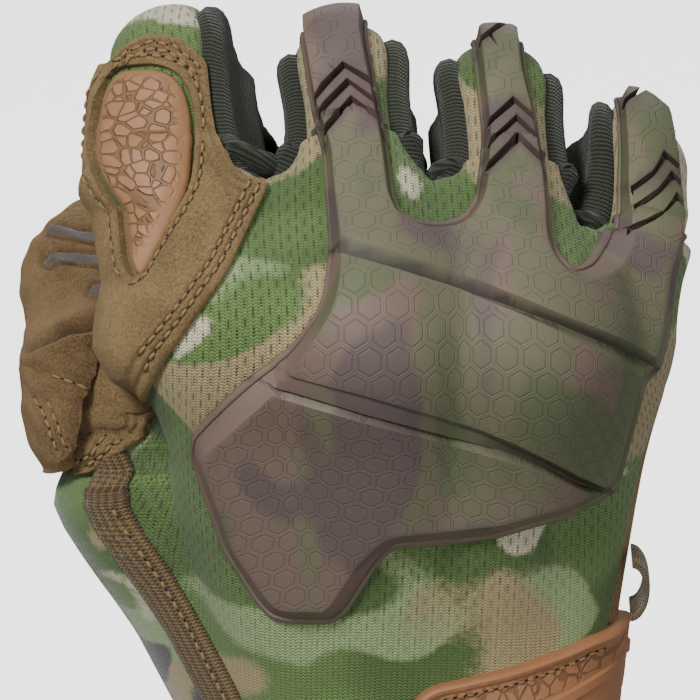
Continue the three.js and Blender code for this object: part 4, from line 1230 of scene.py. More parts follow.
def flat_knit():
    """Camouflage knit with a fine even face, on the gusset"""
    s = Shader("camo_flat_knit")
    u, v, at = s.flat()
    weave = s.mul(s.wave(u, 0.6), s.wave(v, 0.5))
    fuzz = s.noise(at, 2.2, detail=4.0)
    # painted light and shade: lighter where the weave lies high, darker where it lies low; the fuzz is a
    # random tone
    shade = s.mul(s.ramp(weave, -0.8, 0.8, (0.8, 1.05)), s.ramp(fuzz, 0.2, 0.8, (0.84, 1.1)))
    color = s.shaded(camouflage(s, shift=(31, 12, 55), size=0.85, dark=0.95), shade)
    return s.finish(color, 0.92, s.bump(s.add(s.mul(weave, 0.4), fuzz), 0.00016, 0.7), sheen=0.3)


def ribbed_knit():
    """Dark olive ribs across the fingers' sides, with a fine twill"""
    s = Shader("ribbed_knit")
    u, v, at = s.flat()
    rib_pitch, twill_pitch = 0.72, 0.36
    wobble = s.mul(s.noise(at, 0.35, detail=1.0), 3.0)
    rib = s.math("SINE", s.add(s.add(s.mul(v, 2 * math.pi / rib_pitch), s.mul(u, 1.9)), wobble))
    twill = s.math("SINE", s.sub(s.mul(u, 2 * math.pi / twill_pitch), s.mul(v, 8.0)))
    height = s.add(s.mul(rib, 0.62), s.mul(twill, 0.3))
    # painted light and shade: the ribs darker in their valleys and lighter on their tops
    color = s.mix(s.ramp(height, -0.65, 0.75), srgb(15, 17, 12), srgb(52, 58, 42))
    return s.finish(color, 0.88, s.bump(height, 0.00024, 0.85), sheen=0.1)


def suede(name="suede", color=(138, 114, 76), dark=(68, 52, 30), bars=False, sewn=False):
    """Brown suede with a nap: on the thumb it has rubbed bars and creases with painted shade, on the saddle
    sewn puckers with painted shade along them
    """
    s = Shader(name)
    at = s.body()
    nap = s.noise(at, 2.4, detail=5.0, roughness=0.72)
    patch = s.noise(at, 0.11, detail=3.0, distortion=0.6)
    share = s.add(s.mul(s.ramp(nap, 0.3, 0.72), 0.8), s.mul(s.ramp(patch, 0.3, 0.7), 0.28))
    tone = s.mix(share, srgb(*dark), srgb(*color))
    grain = s.add(nap, s.mul(s.noise(at, 0.8), 0.9))
    rough = 0.95
    if bars:
        bar = s.read("bar")
        # painted shade along the thumb's fold and beside its bars
        tone = s.mix(s.mul(s.read("crease"), 0.9), tone, srgb(44, 30, 20))
        tone = s.mix(bar, tone, srgb(74, 70, 70))
        rough = s.ramp(bar, 0.0, 1.0, (0.95, 0.5))
        grain = s.mul(grain, s.ramp(bar, 0.0, 1.0, (1.0, 0.1)))
    if sewn:
        edge, gap = s.read("edge"), s.read("gap")
        pucker = 0.0
        for value, where in ((edge, 1.6), (edge, 3.1), (gap, 1.7)):
            near = s.ramp(s.apart(value, where), 0.0, 0.75, (1.0, 0.0))
            pucker = s.math("MAXIMUM", pucker, near)
        # painted shade along the grooves of the stitch lines
        tone = s.mix(s.mul(pucker, 0.22), tone, srgb(84, 64, 40))
        grain = s.sub(grain, s.mul(pucker, 1.3))
    return s.finish(tone, rough, s.bump(grain, 0.0006, 0.85), sheen=0.35, sheen_tint=srgb(210, 180, 130))


def hexagons(s, u, v, pitch):
    """Distance from the nearest hexagon's edge, in mm, for hexagons at that pitch"""

    def reach(shift):
        x = s.math("ABSOLUTE", s.cell(u, pitch, shift))
        y = s.math("ABSOLUTE", s.cell(v, pitch * math.sqrt(3), shift))
        return s.math("MAXIMUM", x, s.add(s.mul(x, 0.5), s.mul(y, math.sqrt(3) / 2)))

    return s.sub(pitch / 2, s.math("MINIMUM", reach(0.0), reach(0.5)))


def guard_rubber():
    """Matt rubber with a soft camouflage print and fine double-lined hexagons"""
    s = Shader("guard_rubber")
    u, v, _ = s.flat()
    plateau = s.read("plateau")
    edge = hexagons(s, u, v, 3.8)

    def ring(where, width):
        return s.ramp(s.apart(edge, where), 0.0, width, (1.0, 0.0))

    line = s.mul(s.sub(s.mul(ring(0.16, 0.12), 0.3), s.mul(ring(0.42, 0.15), 0.8)), plateau)
    inner = s.mul(s.ramp(edge, 0.36, 0.5, (0.0, 0.2)), plateau)
    blot = s.noise(s.body(1000, (12, 4, 30), (1.35, 1, 0.55)), 0.045, detail=1.0, distortion=0.4)
    second = s.noise(s.body(1000, (52, 71, 3), (1.2, 1, 0.6)), 0.05, detail=1.0, distortion=0.3)
    fine = s.noise(s.body(), 3.5, detail=3.0)
    tint = s.mix(s.ramp(blot, 0.44, 0.54), srgb(90, 88, 68), srgb(100, 84, 74))
    tint = s.mix(s.ramp(second, 0.55, 0.62), tint, srgb(84, 72, 69))
    tint = s.mix(s.ramp(second, 0.45, 0.38), tint, srgb(80, 84, 60))
    tint = s.shaded(tint, s.ramp(fine, 0.2, 0.8, (0.94, 1.05)))
    # painted shade in the engraved lines of the hexagons
    tint = s.mix(s.mul(s.mul(ring(0.42, 0.17), plateau), 0.22), tint, srgb(46, 44, 36))
    tint = s.mix(s.mul(s.read("bands"), 0.8), tint, srgb(72, 58, 56))
    # painted shade in the grooves and at the ledge
    tint = s.mix(s.mul(s.read("deep"), 0.75), tint, srgb(38, 33, 30))
    height = s.add(s.add(line, inner), s.mul(fine, 0.12))
    return s.finish(tint, 0.58, s.bump(height, 0.0001, 0.8))


def pad_rubber(name, color, scale, depth, uneven=1.0):
    """Rubber with flat-topped stones of uneven size and painted shade in the gaps between them"""
    s = Shader(name)
    _, _, at = s.flat()
    warp = s.noise(at, 0.35, detail=1.0, output=1)
    edge = s.voronoi(s.moved(at, s.scaled(warp, 0.8)), scale, uneven)
    size = s.ramp(s.noise(at, 0.3, detail=0.0), 0.4, 0.6, (0.07, 0.16))
    cell = s.blend(s.read("cells"), 1.0, s.ramp(edge, s.mul(size, 0.35), size))
    fine = s.noise(at, 4.0, detail=3.0)
    bright = srgb(*color)
    # painted shade between the stones: a darker copy of the rubber's colour in the gaps
    painted_gap_shade = tuple(c * 0.6 for c in bright[:3]) + (1,)
    tone = s.mix(cell, painted_gap_shade, bright)
    return s.finish(tone, 0.55, s.bump(s.add(cell, s.mul(fine, 0.08)), depth, 0.9))


def knit_tape():
    """Brown tape knitted in ribs along its length"""
    s = Shader("knit_tape")
    u, v, at = s.flat()
    rib = s.wave(u, 1.1)
    stitch = s.math("SINE", s.add(s.mul(v, 2 * math.pi / 0.62), s.mul(s.math("ABSOLUTE", rib), 2.6)))
    height = s.add(s.mul(rib, 0.35), s.mul(stitch, 0.5))
    fuzz = s.noise(at, 3.0, detail=3.0)
    # painted light and shade: darker in the valleys of the ribs and stitches, lighter on their tops, with a
    # random fuzz tone
    share = s.add(s.ramp(height, -0.7, 0.7), s.mul(s.sub(fuzz, 0.5), 0.8))
    color = s.mix(share, srgb(58, 46, 28), srgb(112, 92, 60))
    return s.finish(color, 0.92, s.bump(s.add(height, s.mul(fuzz, 0.5)), 0.0002, 0.9), sheen=0.2)


def plain_thread(name, dark, color, scale, rough):
    """Matt thread, or the painted shade of a needle's hole"""
    s = Shader(name)
    return s.finish(s.mix(s.noise(s.body(), scale), srgb(*dark), srgb(*color)), rough)


CAMO_MESH, CAMO_FLAT, RIBBED, SUEDE = mesh_knit(), flat_knit(), ribbed_knit(), suede()
# the thumb gets the suede in darker colours: partly its own darker tone, partly painted shade for the shadow
# it lies in
THUMB_SUEDE = suede("thumb_suede", (122, 96, 62), (56, 41, 25), bars=True)
SADDLE_SUEDE = suede("saddle_suede", sewn=True)
GUARD_RUBBER, TAPE_KNIT = guard_rubber(), knit_tape()
THREAD = plain_thread("thread", (98, 79.8, 51.8), (140, 114, 74), 6.0, 0.8)
# dark discs of painted shade for the needles' holes
NEEDLE_HOLE_SHADE = plain_thread("needle_hole_shade", (26, 17, 10), (40, 28, 18), 2.0, 1.0)
PAD_RUBBER = pad_rubber("pad_rubber", (140, 102, 70), 0.5, 0.0006, 0.85)
TAB_RUBBER = pad_rubber("tab_rubber", (138, 94, 62), 0.42, 0.00022)


# Laying the pieces
class Ground:
    """Finds a sheet's place and normal above a point of the plane"""

    def __init__(self, sheet, keys=("x", "up")):
        self.sheet, self.normals = sheet, sheet.normals()
        self.flat = np.concatenate([sheet.place(*keys), np.zeros((len(sheet.pos), 1))], 1)
        self.tree = BVHTree.FromPolygons(self.flat.tolist(), sheet.tris.tolist())

    def at(self, place):
        hit, _, index, _ = self.tree.ray_cast((float(place[0]), float(place[1]), 5.0), (0, 0, -1))
        if hit is None:
            return None
        tri = self.sheet.tris[index]
        a, b, c = self.flat[tri, :2]
        share = np.linalg.solve(np.array([b - a, c - a]).T + np.eye(2) * 1e-9, np.asarray(place, float) - a)
        weights = np.array([1 - share.sum(), *share])
        return weights @ self.sheet.pos[tri], unit(weights @ self.normals[tri])


def moved_line(line, distance):
    """A line moved sideways, to its left for positive distances"""
    line = np.asarray(line, float)
    along = unit(np.gradient(line, axis=0))
    return line + np.stack([-along[:, 1], along[:, 0]], 1) * distance


def marks(line, pitch):
    """Places and directions at even steps along a line"""
    line = np.asarray(line, float)
    run = np.concatenate([[0], np.cumsum(np.linalg.norm(np.diff(line, axis=0), axis=1))])
    count = max(2, int(round(run[-1] / pitch)))
    steps = (np.arange(count) + 0.5) * run[-1] / count
    place = np.stack([np.interp(steps, run, line[:, k]) for k in (0, 1)], 1)
    ahead = np.stack([np.interp(steps + 0.2, run, line[:, k]) for k in (0, 1)], 1)
    behind = np.stack([np.interp(steps - 0.2, run, line[:, k]) for k in (0, 1)], 1)
    return place, unit(ahead - behind)


RANDOM = np.random.default_rng(7)


def add_strand(sheet, points, normals, radii, sides=7):
    """A closed strand through points"""
    points = np.asarray(points)
    along = unit(np.gradient(points, axis=0))
    across = unit(np.cross(along, normals))
    up = np.cross(across, along)
    turn = np.linspace(0, 2 * math.pi, sides + 1)
    ring = across[:, None] * np.cos(turn)[None, :, None] + up[:, None] * np.sin(turn)[None, :, None]
    grid = points[:, None] + ring * np.asarray(radii)[:, None, None]
    v = lengths(grid)
    sheet.add_grid(grid, np.stack([np.broadcast_to(turn * 0.3, v.shape), v], -1))


STITCH_LIFT, STITCH_DIP = 0.22, 0.28
STITCH_SWELL = np.array([0.35, 0.8, 1, 1.05, 1, 0.8, 0.35])
HOLE_LONG, HOLE_WIDE = 0.24, 0.21


def add_hole(sheet, end, tangent, normal):
    """A small dark disc of painted shade where a thread goes in"""
    turn = np.linspace(0, 2 * math.pi, 9)
    side = np.cross(normal, tangent)
    centre = end + normal * 0.035
    ring = centre + np.outer(np.cos(turn), tangent) * HOLE_LONG + np.outer(np.sin(turn), side) * HOLE_WIDE
    disc = np.stack([ring, np.broadcast_to(centre, ring.shape)])
    sheet.add_grid(disc, np.zeros((2, 9, 2)))


def stitches(threads, holes, ground, line, pitch=2.1, length=1.55, radius=0.27):
    """A row of sewn stitches, each a thread between two holes"""
    places, along = marks(line, pitch)
    for place, way in zip(places, along):
        way = way + RANDOM.normal(0, 0.05, 2)
        size = length * RANDOM.uniform(0.9, 1.1)
        ends = [ground.at(place + way * size * t) for t in (-0.5, 0, 0.5)]
        if any(e is None for e in ends):
            continue
        a, middle, b = (e[0] for e in ends)
        normal = ends[1][1]
        # none is drawn over the horizon or a step of the ground
        if np.linalg.norm(b - a) > 1.5 * size or normal @ ends[0][1] < 0.8 or normal @ ends[2][1] < 0.8:
            continue
        t = np.linspace(-1, 1, len(STITCH_SWELL))
        high = STITCH_LIFT - (STITCH_LIFT + STITCH_DIP) * np.abs(t) ** 3
        points = middle + np.outer(t, (b - a) / 2) + np.outer(high, normal)
        add_strand(threads, points, np.broadcast_to(normal, points.shape), radius * STITCH_SWELL)
        tangent = unit(b - a)
        for end, sign in ((b, 1), (a, -1)):
            add_hole(holes, end + tangent * sign * 0.1, tangent, normal)


def tuck(sheet, depth, width):
    """Draws a panel's edges in to its seams, except at the cuff's opening"""
    normals = sheet.normals()
    rim = np.unique(sheet.open_edges())
    key = np.round(sheet.pos / 0.02).astype(np.int64)
    _, inverse, counts = np.unique(key, axis=0, return_inverse=True, return_counts=True)
    alone = counts[inverse.ravel()] == 1
    rim = rim[(sheet.pos[rim, 2] > 3) & alone[rim]]
    tree = KDTree(len(rim))
    for k, p in enumerate(sheet.pos[rim]):
        tree.insert(p, k)
    tree.balance()
    far = np.array([tree.find(p)[2] for p in sheet.pos])
    sheet.values["rim"] = far
    sheet.lift(normals, -depth * np.exp(-far / width))
    return sheet


def panel_sheet(parts):
    """parts lists (grid, u, v, flip)"""
    sheet = Sheet()
    stations = {len(rows): rows for rows in (ROWS, HAND_ROWS, FINGER_ROWS)}
    for grid, u, v, flip in parts:
        x, up, depth = sketch(grid)
        station = np.repeat(stations[len(grid)][:, None], grid.shape[1], axis=1)
        sheet.add_grid(grid, np.stack([u, v], -1), flip=flip, x=x, up=up, depth=depth, station=station)
    return sheet


def tip_part(i, degrees, grid, u, v, flip):
    """The fingertip's part beyond a grid's last row"""
    tip = tip_grid(i, degrees, grid[-1])
    tip_v = v[-1] + lengths(tip)
    middle = u[-1].mean()
    shrink = np.cos(np.radians(CLIMBS))[:, None]
    return tip, middle + (u[-1] - middle) * shrink, tip_v, flip


def add_tips(sheet, parts):
    for tip, u, v, flip in parts:
        sheet.add_grid(tip, np.stack([u, v], -1), flip=flip, station=TIP)
    return sheet


def back_panel():
    """The mesh knit over the back of the hand, right of its edge line, and over the fingers"""
    sheet = panel_sheet(BACK_PARTS + [columns(LITTLE_SIDE, 0, 5), rows_of(INDEX_SIDE, 0, HAND_COUNT)])
    add_tips(sheet, [tip_part(i, 90 - 45 * ACROSS, *FULL_BACK[i], False) for i in range(4)])
    # whatever the edge line says, the fingers' stations are kept
    on_finger = (sheet.values["station"] - 3.0) * 20
    sheet.values["edge"] = np.maximum(side_of(sheet.place(), EDGE_LINE), on_finger)
    sheet.cut("edge", 0.0).keep("edge", 0.0)
    return tuck(sheet.weld(keep_uv=True), 0.9, 0.8)


ROOT_FROM = 87.5


def gusset_panel():
    """The knit at the thumb's side of the cuff, and the suede above it that the thumb springs from"""
    sheet = panel_sheet([rows_of(BACK_PARTS[0], 0, HAND_COUNT), rows_of(INDEX_SIDE, 0, HAND_COUNT)])
    sheet.values["edge"] = -side_of(sheet.place(), EDGE_LINE)
    sheet.cut("edge", 0.0).keep("edge", 0.0)
    sheet.values["top"] = ROOT_FROM - sheet.values["up"]
    root = sheet.copy()
    sheet.cut("top", 0.0).keep("top", 0.0)
    root.values["top"] *= -1
    root.cut("top", 0.0).keep("top", 0.0)
    return tuck(sheet.weld(keep_uv=True), 0.8, 0.7), root.weld(keep_uv=True)


def palm_panel():
    """The palm, the fingers' undersides and tips, and the outer sides of the index and little fingers"""

    def flat_part(grid, u0, v0):
        return grid, u0 + across_lengths(grid), lengths(grid) + v0, True

    hand = flat_part(PALM_HAND, 0, 0)
    fingers = [flat_part(PALM_FINGER[i], hand[1][-1, i * PALM_N], hand[2][-1].mean()) for i in range(4)]
    little = columns(LITTLE_SIDE, 4, SIDE_N + 1)
    sheet = panel_sheet([hand, *fingers, little, rows_of(INDEX_SIDE, HAND_COUNT - 1, None)])
    tips = [tip_part(i, 45 * PALM_ACROSS - 90, *part) for i, part in enumerate(fingers)]
    tips.append(tip_part(3, SIDE_DEGREES[4:], *little))
    tips.append(tip_part(0, 180 - SIDE_DEGREES, *INDEX_SIDE))
    add_tips(sheet, tips)
    return tuck(sheet.weld(keep_uv=True), 0.7, 0.7)


def fourchette(gap):
    """The two sides of a gap between fingers, rounded out between their seams"""
    parts, tips = [], []
    for i, side in ((gap, 1), (gap + 1, -1)):
        grid = SIDE_FINGER[i, side]
        base_v = FINGER_UV[i][1][:, -1 if side > 0 else 0]
        v = np.broadcast_to(base_v[:, None], grid.shape[:2])
        part = (grid, side * across_lengths(grid), v, side < 0)
        parts.append(part)
        tips.append(tip_part(i, SIDE_DEGREES if side > 0 else 180 - SIDE_DEGREES, *part))
    sheet = tuck(add_tips(panel_sheet(parts), tips).weld(keep_uv=True), 1.0, 0.6)
    far = sheet.values["rim"]
    bulge = 1.5 * np.sin(np.clip(far / 5.2, 0, 1) * math.pi) ** 1.2 - 0.8 * smoothstep(far, 4.4, 6.5)
    sheet.lift(sheet.normals(), bulge)
    return sheet


INDEX_PARTS = [BACK_PARTS[0], INDEX_SIDE]
WINDOW_EDGE = 0.45


def clipped_layer(height, outline, corner, rings, profile, window=None):
    """A patch of a raised layer inside an outline, open in its window. profile works out its height."""
    sheet = domain(INDEX_PARTS, height, True, True).weld()
    place = sheet.place()
    sheet.values["d"] = np.minimum(room(place, rounded(outline, corner)), sheet.values["depth"] - LAYER_FROM)
    sheet.values["gap"] = -room(place, rounded(window, 2.5)) if window else np.full(len(place), 50.0)
    sheet.note_normals()
    sheet.trim("d", rings)
    if window:
        for at in (WINDOW_EDGE, 0.8, 1.3):
            sheet.cut("gap", at, snap=0.03)
        sheet.keep("gap", WINDOW_EDGE)
    normals = sheet.noted_normals()
    high = profile(sheet)
    sheet.lift(normals, high)
    return sheet, normals, high


def skirted(sheet, normals, high, foot=-0.3):
    return sheet.with_skirt(high - foot, normals)


def make_guard():
    sheet = guard_sheet()
    normals = sheet.noted_normals()
    high = LAYER_GAP + guard_height(sheet)
    sheet.lift(normals, high)
    return skirted(sheet, normals, high)


FOLD = [[-68, 104.4], [-66.6, 105], [-62.9, 106.6], [-59.9, 107.8], [-56.4, 109.4], [-49, 111.4]]
THUMB_SEAMS = [[[-64.1, 122.9], [-63.3, 119.7], [-60.9, 117.6], [-57, 115.7], [-50, 113]],
               [[-68, 104], [-66.1, 103.1], [-63.7, 102.5], [-60.7, 101.5], [-55.8, 99.9], [-52, 98.5]],
               [[-64.9, 98.2], [-63.1, 93.4], [-62.3, 89.2]], [[-63, 97.8], [-61.6, 93.4], [-60.9, 89.6]]]
BARS = [[[-62.9, 126.3], [-60.3, 125.8], [-54, 124.6]],
        [[-63.6, 120.8], [-61.1, 121.4], [-59, 121.6], [-52, 119.9]],
        [[-55.6, 115.7], [-50, 114.6]]]
THUMB_ROOT = [[-62, 80], [-60.5, 84], [-59.5, 89.3], [-58.3, 94.3], [-56.5, 99.3], [-54.3, 103.8],
              [-50.4, 109], [-47, 114]]
THUMB_FOOT = 85.4
THUMB_FROM, THUMB_RINGS, THUMB_LEVEL = 22, 280, 0.35
THUMB_DEGREES = np.linspace(0, 360, 217)
THUMB_CLIMBS = np.linspace(0, 90, 14)[1:]


def thumb_grid():
    """Rings round the thumb, from inside the hand to the pole of its tip"""
    joints = [np.array(p, float) for p in THUMB["points"]]
    path = Path(joints, THUMB["fillets"], [1, 0, 0])
    bones = [(joints[k], joints[k + 1], THUMB["radii"][k:k + 2]) for k in range(3)]
    form = Form(bones + [FLESH[2]], FORM_BLEND)
    rad = np.radians(THUMB_DEGREES)[:, None]
    rows = []
    for s in np.linspace(THUMB_FROM, path.length, THUMB_RINGS):
        place, tangent, _, _ = path.at(s)
        side = unit(np.array([1.0, 0, 0]) - tangent * tangent[0])
        ring = side * np.cos(rad) + np.cross(side, tangent) * np.sin(rad)
        rows.append(walk(form, place, ring, THUMB_LEVEL))
    for climb in np.radians(THUMB_CLIMBS):
        rows.append(walk(form, place, ring * math.cos(climb) + tangent * math.sin(climb), THUMB_LEVEL))
    return np.stack(rows)


def facing(sheet):
    """How squarely each vertex faces the plane's way, -1 to 1"""
    normals = sheet.normals()
    return normals[:, 1] * -math.cos(SKETCH_TILT) + normals[:, 2] * math.sin(SKETCH_TILT)


def ridge(far, width):
    """A soft ridge of height 1 where far is 0"""
    return np.exp(-(far / width) ** 2)


def thumb_sheet():
    """The thumb's suede, with its fold, seams and bars as relief on the side that the plane sees"""
    grid = thumb_grid()
    x, up, depth = sketch(grid)
    uv = np.stack([np.broadcast_to(THUMB_DEGREES * 0.2, grid.shape[:2]), lengths(grid)], -1)
    sheet = Sheet().add_grid(grid, uv, flip=True, x=x, up=up, depth=depth).weld()
    place = sheet.place()
    x, up = place.T
    seen = smoothstep(facing(sheet), 0.0, 0.5)
    fold, above = to_line(place, FOLD), up - along_line(x, FOLD)
    near = fold < 8
    change = -3.6 * ridge(fold, 1.0) + 1.3 * ridge(above + 2.1, 1.5) * near
    change += 0.7 * ridge(above - 2.6, 2.0) * near
    for line in THUMB_SEAMS:
        far = to_line(place, line)
        change += -0.55 * ridge(far, 0.6) + 0.35 * ridge(far - 1.9, 0.9)
    bars = np.min([to_line(place, line) for line in BARS], axis=0)
    change += 0.6 * (1 - smoothstep(bars, 0.45, 0.8)) - 0.45 * ridge(bars - 1.15, 0.4)
    wander = np.sin(x * 0.9 + np.sin(up * 0.35) * 2) * np.sin(up * 0.55 + 1.3) * 0.3
    sheet.lift(sheet.normals(), change * seen + wander)
    sheet.values["bar"] = (1 - smoothstep(bars, 0.5, 0.85)) * (seen > 0.05)
    # painted shade along the fold and in the dips beside the bars, on the side that the plane sees
    sheet.values["crease"] = np.maximum(ridge(fold, 1.15), 0.6 * ridge(bars - 1.1, 0.4)) * seen
    root = -side_of(place, THUMB_ROOT)
    sunk = 2.2 * np.exp(-np.clip(root, 0, 9) / 1.2) * (up < ROOT_TOP - 1) * seen
    sheet.lift(sheet.normals(), -sunk)
    sheet.values["root"] = np.where((seen > 0) & (up < ROOT_TOP), root, 9.0)
    sheet.values["foot"] = sheet.values["up"] - THUMB_FOOT
    sheet.cut("foot", 0.0).keep("foot", 0.0)
    return sheet.cut("root", 0.0).keep("root", 0.0)


TAB_FRAME = [[4, 44], [35.5, 45], [35.8, 60], [33.6, 62.8], [29, 63.6], [8, 61.2], [4, 58.5]]
TAB_HEIGHTS = [[0, 0.9], [0.25, 1.6], [0.6, 1.85], [1.2, 1.75], [1.6, 1.35], [99, 1.35]]
TAB_BEHIND = 6


def tab_sheet():
    """The cuff's tab with a lip at its edge and a raised frame, drawn on the upright plane"""
    sheet = panel_sheet([rows_of(p, 0, HAND_COUNT) for p in BACK_PARTS + [LITTLE_SIDE]]).weld()
    sheet.note_normals()
    sheet.values["fx"], sheet.values["fz"] = (sheet.pos + sheet.normals() * 2)[:, [0, 2]].T
    place = sheet.place("fx", "fz")
    front = np.where(sheet.pos[:, 1] < TAB_BEHIND, 9, TAB_BEHIND - sheet.pos[:, 1])
    sheet.values["d"] = np.minimum(room(place, rounded(TAB, 2)), front)
    sheet.values["frame"] = room(place, rounded(TAB_FRAME, 4))
    sheet.trim("d", [at for at, _ in TAB_HEIGHTS[1:-1]])
    for at in (-1.1, -0.7, 0.7, 1.1):
        sheet.cut("frame", at, snap=0.03)
    normals, d, frame = sheet.noted_normals(), sheet.values["d"], sheet.values["frame"]
    high = LAYER_GAP + along_line(d, TAB_HEIGHTS)
    high += np.interp(np.abs(frame), [0.7, 1.1], [0.45, 0.0])
    sheet.lift(normals, high)
    sheet.values["cells"] = smoothstep(d, 1.6, 2.2) * smoothstep(-frame, 1.1, 1.5)
    sheet.uv = sheet.place("fx", "fz")
    return sheet, normals, high


TAPE_TOP, TAPE_HALF = 89.5, 3.0
TAPE_HEIGHTS = [[0, 0.1], [0.5, 0.65], [1.1, 0.95], [TAPE_HALF, 1.3]]


def tape_sheet():
    """The tape along its line beside the cuff"""
    parts = [rows_of(p, 0, HAND_COUNT) for p in (BACK_PARTS[0], BACK_PARTS[1], INDEX_SIDE)]
    sheet = domain(parts, 1.0, True).weld()
    sheet.values["across"] = side_of(sheet.place(), TAPE_LINE)
    beyond = TAPE_TOP - sheet.values["up"]
    sheet.values["d"] = np.minimum(TAPE_HALF - np.abs(sheet.values["across"]), beyond)
    sheet.note_normals()
    sheet.trim("d", [at for at, _ in TAPE_HEIGHTS[1:-1]], 0.06)
    normals = sheet.noted_normals()
    high = LAYER_GAP + along_line(sheet.values["d"], TAPE_HEIGHTS)
    sheet.uv = np.stack([sheet.values["across"], sheet.values["up"] * 1.1], 1)
    sheet.lift(normals, high)
    return sheet, normals, high


def front_of(sheet):
    """The part of a sheet that faces the plane's way"""
    other = sheet.copy()
    other.values["front"] = facing(other)
    return other.keep("front", 0.05)


def loop_sheet():
    """The pull loop: a strap bent into a half ring at the side of the cuff"""
    middle, reach, tall = np.array([34.6, 76.0]), 3.0, 5.2
    section = np.linspace(0, 2 * math.pi, 17)
    wide = 3.6 * np.sign(np.cos(section)) * np.abs(np.cos(section)) ** 0.6
    thick = 0.6 * np.sign(np.sin(section)) * np.abs(np.sin(section)) ** 0.8
    rows = []
    for a in np.radians(np.linspace(-90, 90, 25)):
        centre = middle + np.array([reach * math.cos(a) * 0.85, tall * math.sin(a)])
        out = unit(np.array([math.cos(a) * tall, math.sin(a) * reach]))
        rows.append(np.stack([centre[0] + out[0] * thick, 3 + wide, centre[1] + out[1] * thick], 1))
    grid = np.stack(rows)
    uv = np.stack([np.broadcast_to(section, grid.shape[:2]) * 1.2, lengths(grid)], -1)
    return Sheet().add_grid(grid, uv, flip=True)


def sew(name, holes_name, rows, ground, **options):
    """Rows of stitches as one piece of threads and one of the discs of painted shade in their holes"""
    threads, holes = Sheet(), Sheet()
    for line in rows:
        stitches(threads, holes, ground, line, **options)
    piece(name, threads, THREAD, smooth_angle=0)
    piece(holes_name, holes, NEEDLE_HOLE_SHADE, smooth_angle=0)


def add_thumb():
    thumb = thumb_sheet()
    piece("thumb_suede", thumb, THUMB_SUEDE, ["thumb_shell"], "suede", attributes=("bar", "crease"))
    sew("thumb_threads", "thumb_thread_holes", THUMB_SEAMS, Ground(front_of(thumb)), pitch=2.0)


SADDLE_RINGS = (0.3, 0.8, 1.2, 1.6, 2.0, 2.7, 3.1, 3.5)
# The stretches of the saddle's outline that are sewn twice
SADDLE_EDGE, SADDLE_TOP = SADDLE[8:14], SADDLE[:5]
EDGE_ROW, TOP_ROWS, PAD_ROW = 1.6, (1.9, 3.1), 1.7


def saddle_profile(sheet):
    """A rolled edge, a lip at the window and a swell over the finger's root"""
    x, up, d = (sheet.values[k] for k in ("x", "up", "d"))
    edge = np.interp(d, [0, 0.3, 0.8], [0.55, 0.95, 1.1])
    lip = np.interp(sheet.values["gap"], [WINDOW_EDGE, 0.8], [-0.25, 0.0])
    swell = 2.6 * ridge(up - 101, 6.5) * smoothstep(-x, 41.5, 50) * smoothstep(d, 1, 5)
    return LAYER_GAP + edge + lip + swell


def add_saddle():
    sheet, normals, high = clipped_layer(1.5, SADDLE, 1.5, SADDLE_RINGS, saddle_profile, PAD)
    ground = Ground(sheet)
    skirted(sheet, normals, high)
    sheet.values["edge"] = sheet.values["d"]
    piece("saddle_suede", sheet, SADDLE_SUEDE, ["saddle_panel"], "suede", attributes=("edge", "gap"))
    around = rounded(PAD, 3.5)
    around = np.concatenate([around, around[:1]])
    loop = moved_line(around, PAD_ROW)
    if inside(loop[:1], PAD)[0]:
        loop = moved_line(around, -PAD_ROW)
    rows = [moved_line(SADDLE_EDGE, -EDGE_ROW), moved_line(SADDLE_EDGE, -EDGE_ROW * 1.95)]
    rows += [moved_line(SADDLE_TOP, -far) for far in TOP_ROWS]
    sew("saddle_threads", "saddle_thread_holes", rows + [loop], ground)


PAD_HEIGHTS = [[0, 0.75], [0.35, 1.6], [0.7, 2.0], [2.0, 3.1], [2.6, 3.35]]


def pad_profile(sheet):
    """A steep wall, a round shoulder and a slightly crowned top"""
    d = sheet.values["d"]
    return along_line(d, PAD_HEIGHTS) + 0.5 * smoothstep(d, 2.6, 8)


def add_pad():
    sheet, normals, high = clipped_layer(3.0, PAD, 2.5, [at for at, _ in PAD_HEIGHTS[1:]], pad_profile)
    sheet.uv = sheet.place()
    sheet.values["cells"] = smoothstep(sheet.values["d"], 1.6, 2.3)
    skirted(sheet, normals, high, foot=0.3)
    piece("index_pad_moulding", sheet, PAD_RUBBER, ["index_pad"], "pad_rubber", attributes=("cells",))


def add_tape():
    sheet, normals, high = tape_sheet()
    ground = Ground(sheet)
    skirted(sheet, normals, high)
    piece("cuff_tape_knit", sheet, TAPE_KNIT, ["cuff_tape"], "tape")
    right = moved_line(TAPE_LINE, -1.55)
    sew("tape_threads", "tape_thread_holes", [right[1:]], ground, pitch=1.9)


def add_tab():
    sheet, normals, high = tab_sheet()
    ground = Ground(sheet, ("fx", "fz"))
    skirted(sheet, normals, high)
    piece("cuff_tab_moulding", sheet, TAB_RUBBER, ["cuff_tab"], "tab_rubber", attributes=("cells",))
    row = moved_line(TAB[:6], -2.3)
    sew("tab_threads", "tab_thread_holes", [row], ground, pitch=1.7, length=1.2, radius=0.17)


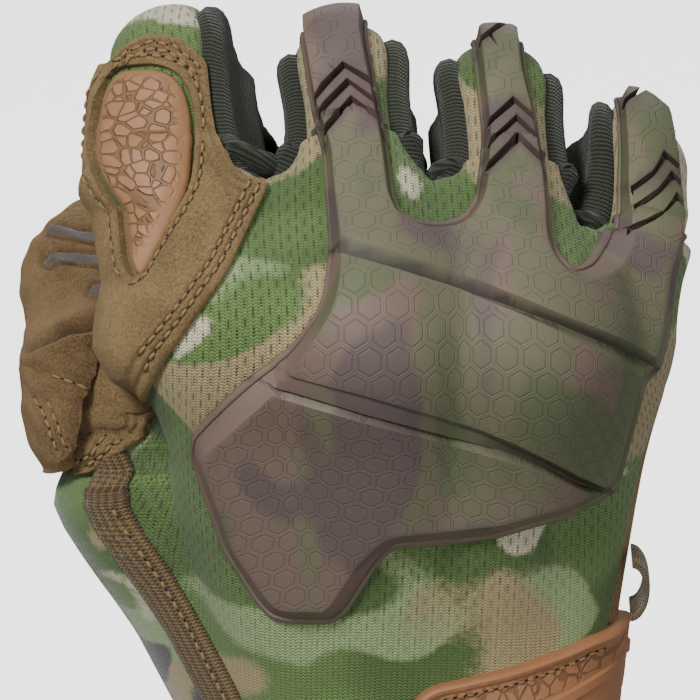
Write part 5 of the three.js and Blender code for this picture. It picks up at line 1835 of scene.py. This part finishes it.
def main():
    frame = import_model()
    cad_low, cad_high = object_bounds()
    piece("knuckle_guard_moulding", make_guard(), GUARD_RUBBER, ["knuckle_guard"], "guard_rubber", 24,
          ("plateau", "bands", "deep"))
    piece("back_knit", back_panel(), CAMO_MESH, ["back_panel"], "camo_mesh")
    gusset, root = gusset_panel()
    piece("gusset_knit", gusset, CAMO_FLAT, ["wrist_gusset"], "camo_knit")
    piece("thumb_root_suede", root, SUEDE, slot="suede")
    add_thumb()
    piece("palm_suede", palm_panel(), SUEDE, ["palm_panel"], "suede")
    for gap, name in enumerate(("index_middle", "middle_ring", "ring_pinky")):
        piece(f"fourchette_knit_{name}", fourchette(gap), RIBBED, [f"fourchette_{name}"], "ribbed_knit")
    add_saddle()
    add_pad()
    add_tape()
    add_tab()
    piece("pull_loop_strap", loop_sheet(), TAPE_KNIT, ["pull_loop"], "tape")
    return cad_low, cad_high


# Floor, light and camera
def stage():
    """A white floor that lights nothing itself, and an even pale world"""
    size, drop = 6.0, -0.32
    corners = [(x * size, y * size, drop) for x, y in ((-1, -1), (1, -1), (1, 1), (-1, 1))]
    mesh = bpy.data.meshes.new("floor")
    mesh.from_pydata(corners, [], [(0, 1, 2, 3)])
    floor = bpy.data.objects.new("floor", mesh)
    bpy.context.scene.collection.objects.link(floor)
    s = Shader("floor")
    s.bsdf.inputs["Emission Color"].default_value = (1, 1, 1, 1)
    s.bsdf.inputs["Emission Strength"].default_value = 2.0
    mesh.materials.append(s.finish((0.92, 0.92, 0.92, 1), 0.9))
    floor.visible_diffuse = floor.visible_glossy = False
    world = bpy.data.worlds.new("studio")
    world.use_nodes = True
    world.node_tree.nodes["Background"].inputs[0].default_value = (1, 1, 1, 1)
    world.node_tree.nodes["Background"].inputs[1].default_value = 0.34
    bpy.context.scene.world = world


def light(name, place, target, size, power):
    lamp = bpy.data.lights.new(name, "AREA")
    lamp.shape, lamp.size, lamp.energy = "DISK", size, power
    obj = bpy.data.objects.new(name, lamp)
    obj.location = place
    obj.rotation_euler = (Vector(target) - Vector(place)).to_track_quat("-Z", "Y").to_euler()
    bpy.context.scene.collection.objects.link(obj)


def camera():
    """Looks at the plane of the sketches squarely, as the photograph does"""
    cam = bpy.data.cameras.new("camera")
    cam.sensor_width, cam.lens = 36, 259.2
    obj = bpy.data.objects.new("camera", cam)
    obj.location = (-0.0119, -0.7008, 0.5268)
    obj.rotation_euler = (math.pi / 2 - SKETCH_TILT, 0, 0)
    bpy.context.scene.collection.objects.link(obj)
    bpy.context.scene.camera = obj


low, high = main()
stage()
MIDDLE = (0, 0, 0.12)
light("key", (-0.4, -0.45, 0.9), MIDDLE, 0.26, 12)
light("fill", (0.35, -0.85, 0.5), MIDDLE, 0.8, 4.5)
light("top", (0.15, 0.25, 1.0), MIDDLE, 0.6, 2)
light("back", (0.1, 0.95, 0.5), MIDDLE, 0.8, 3)
camera()
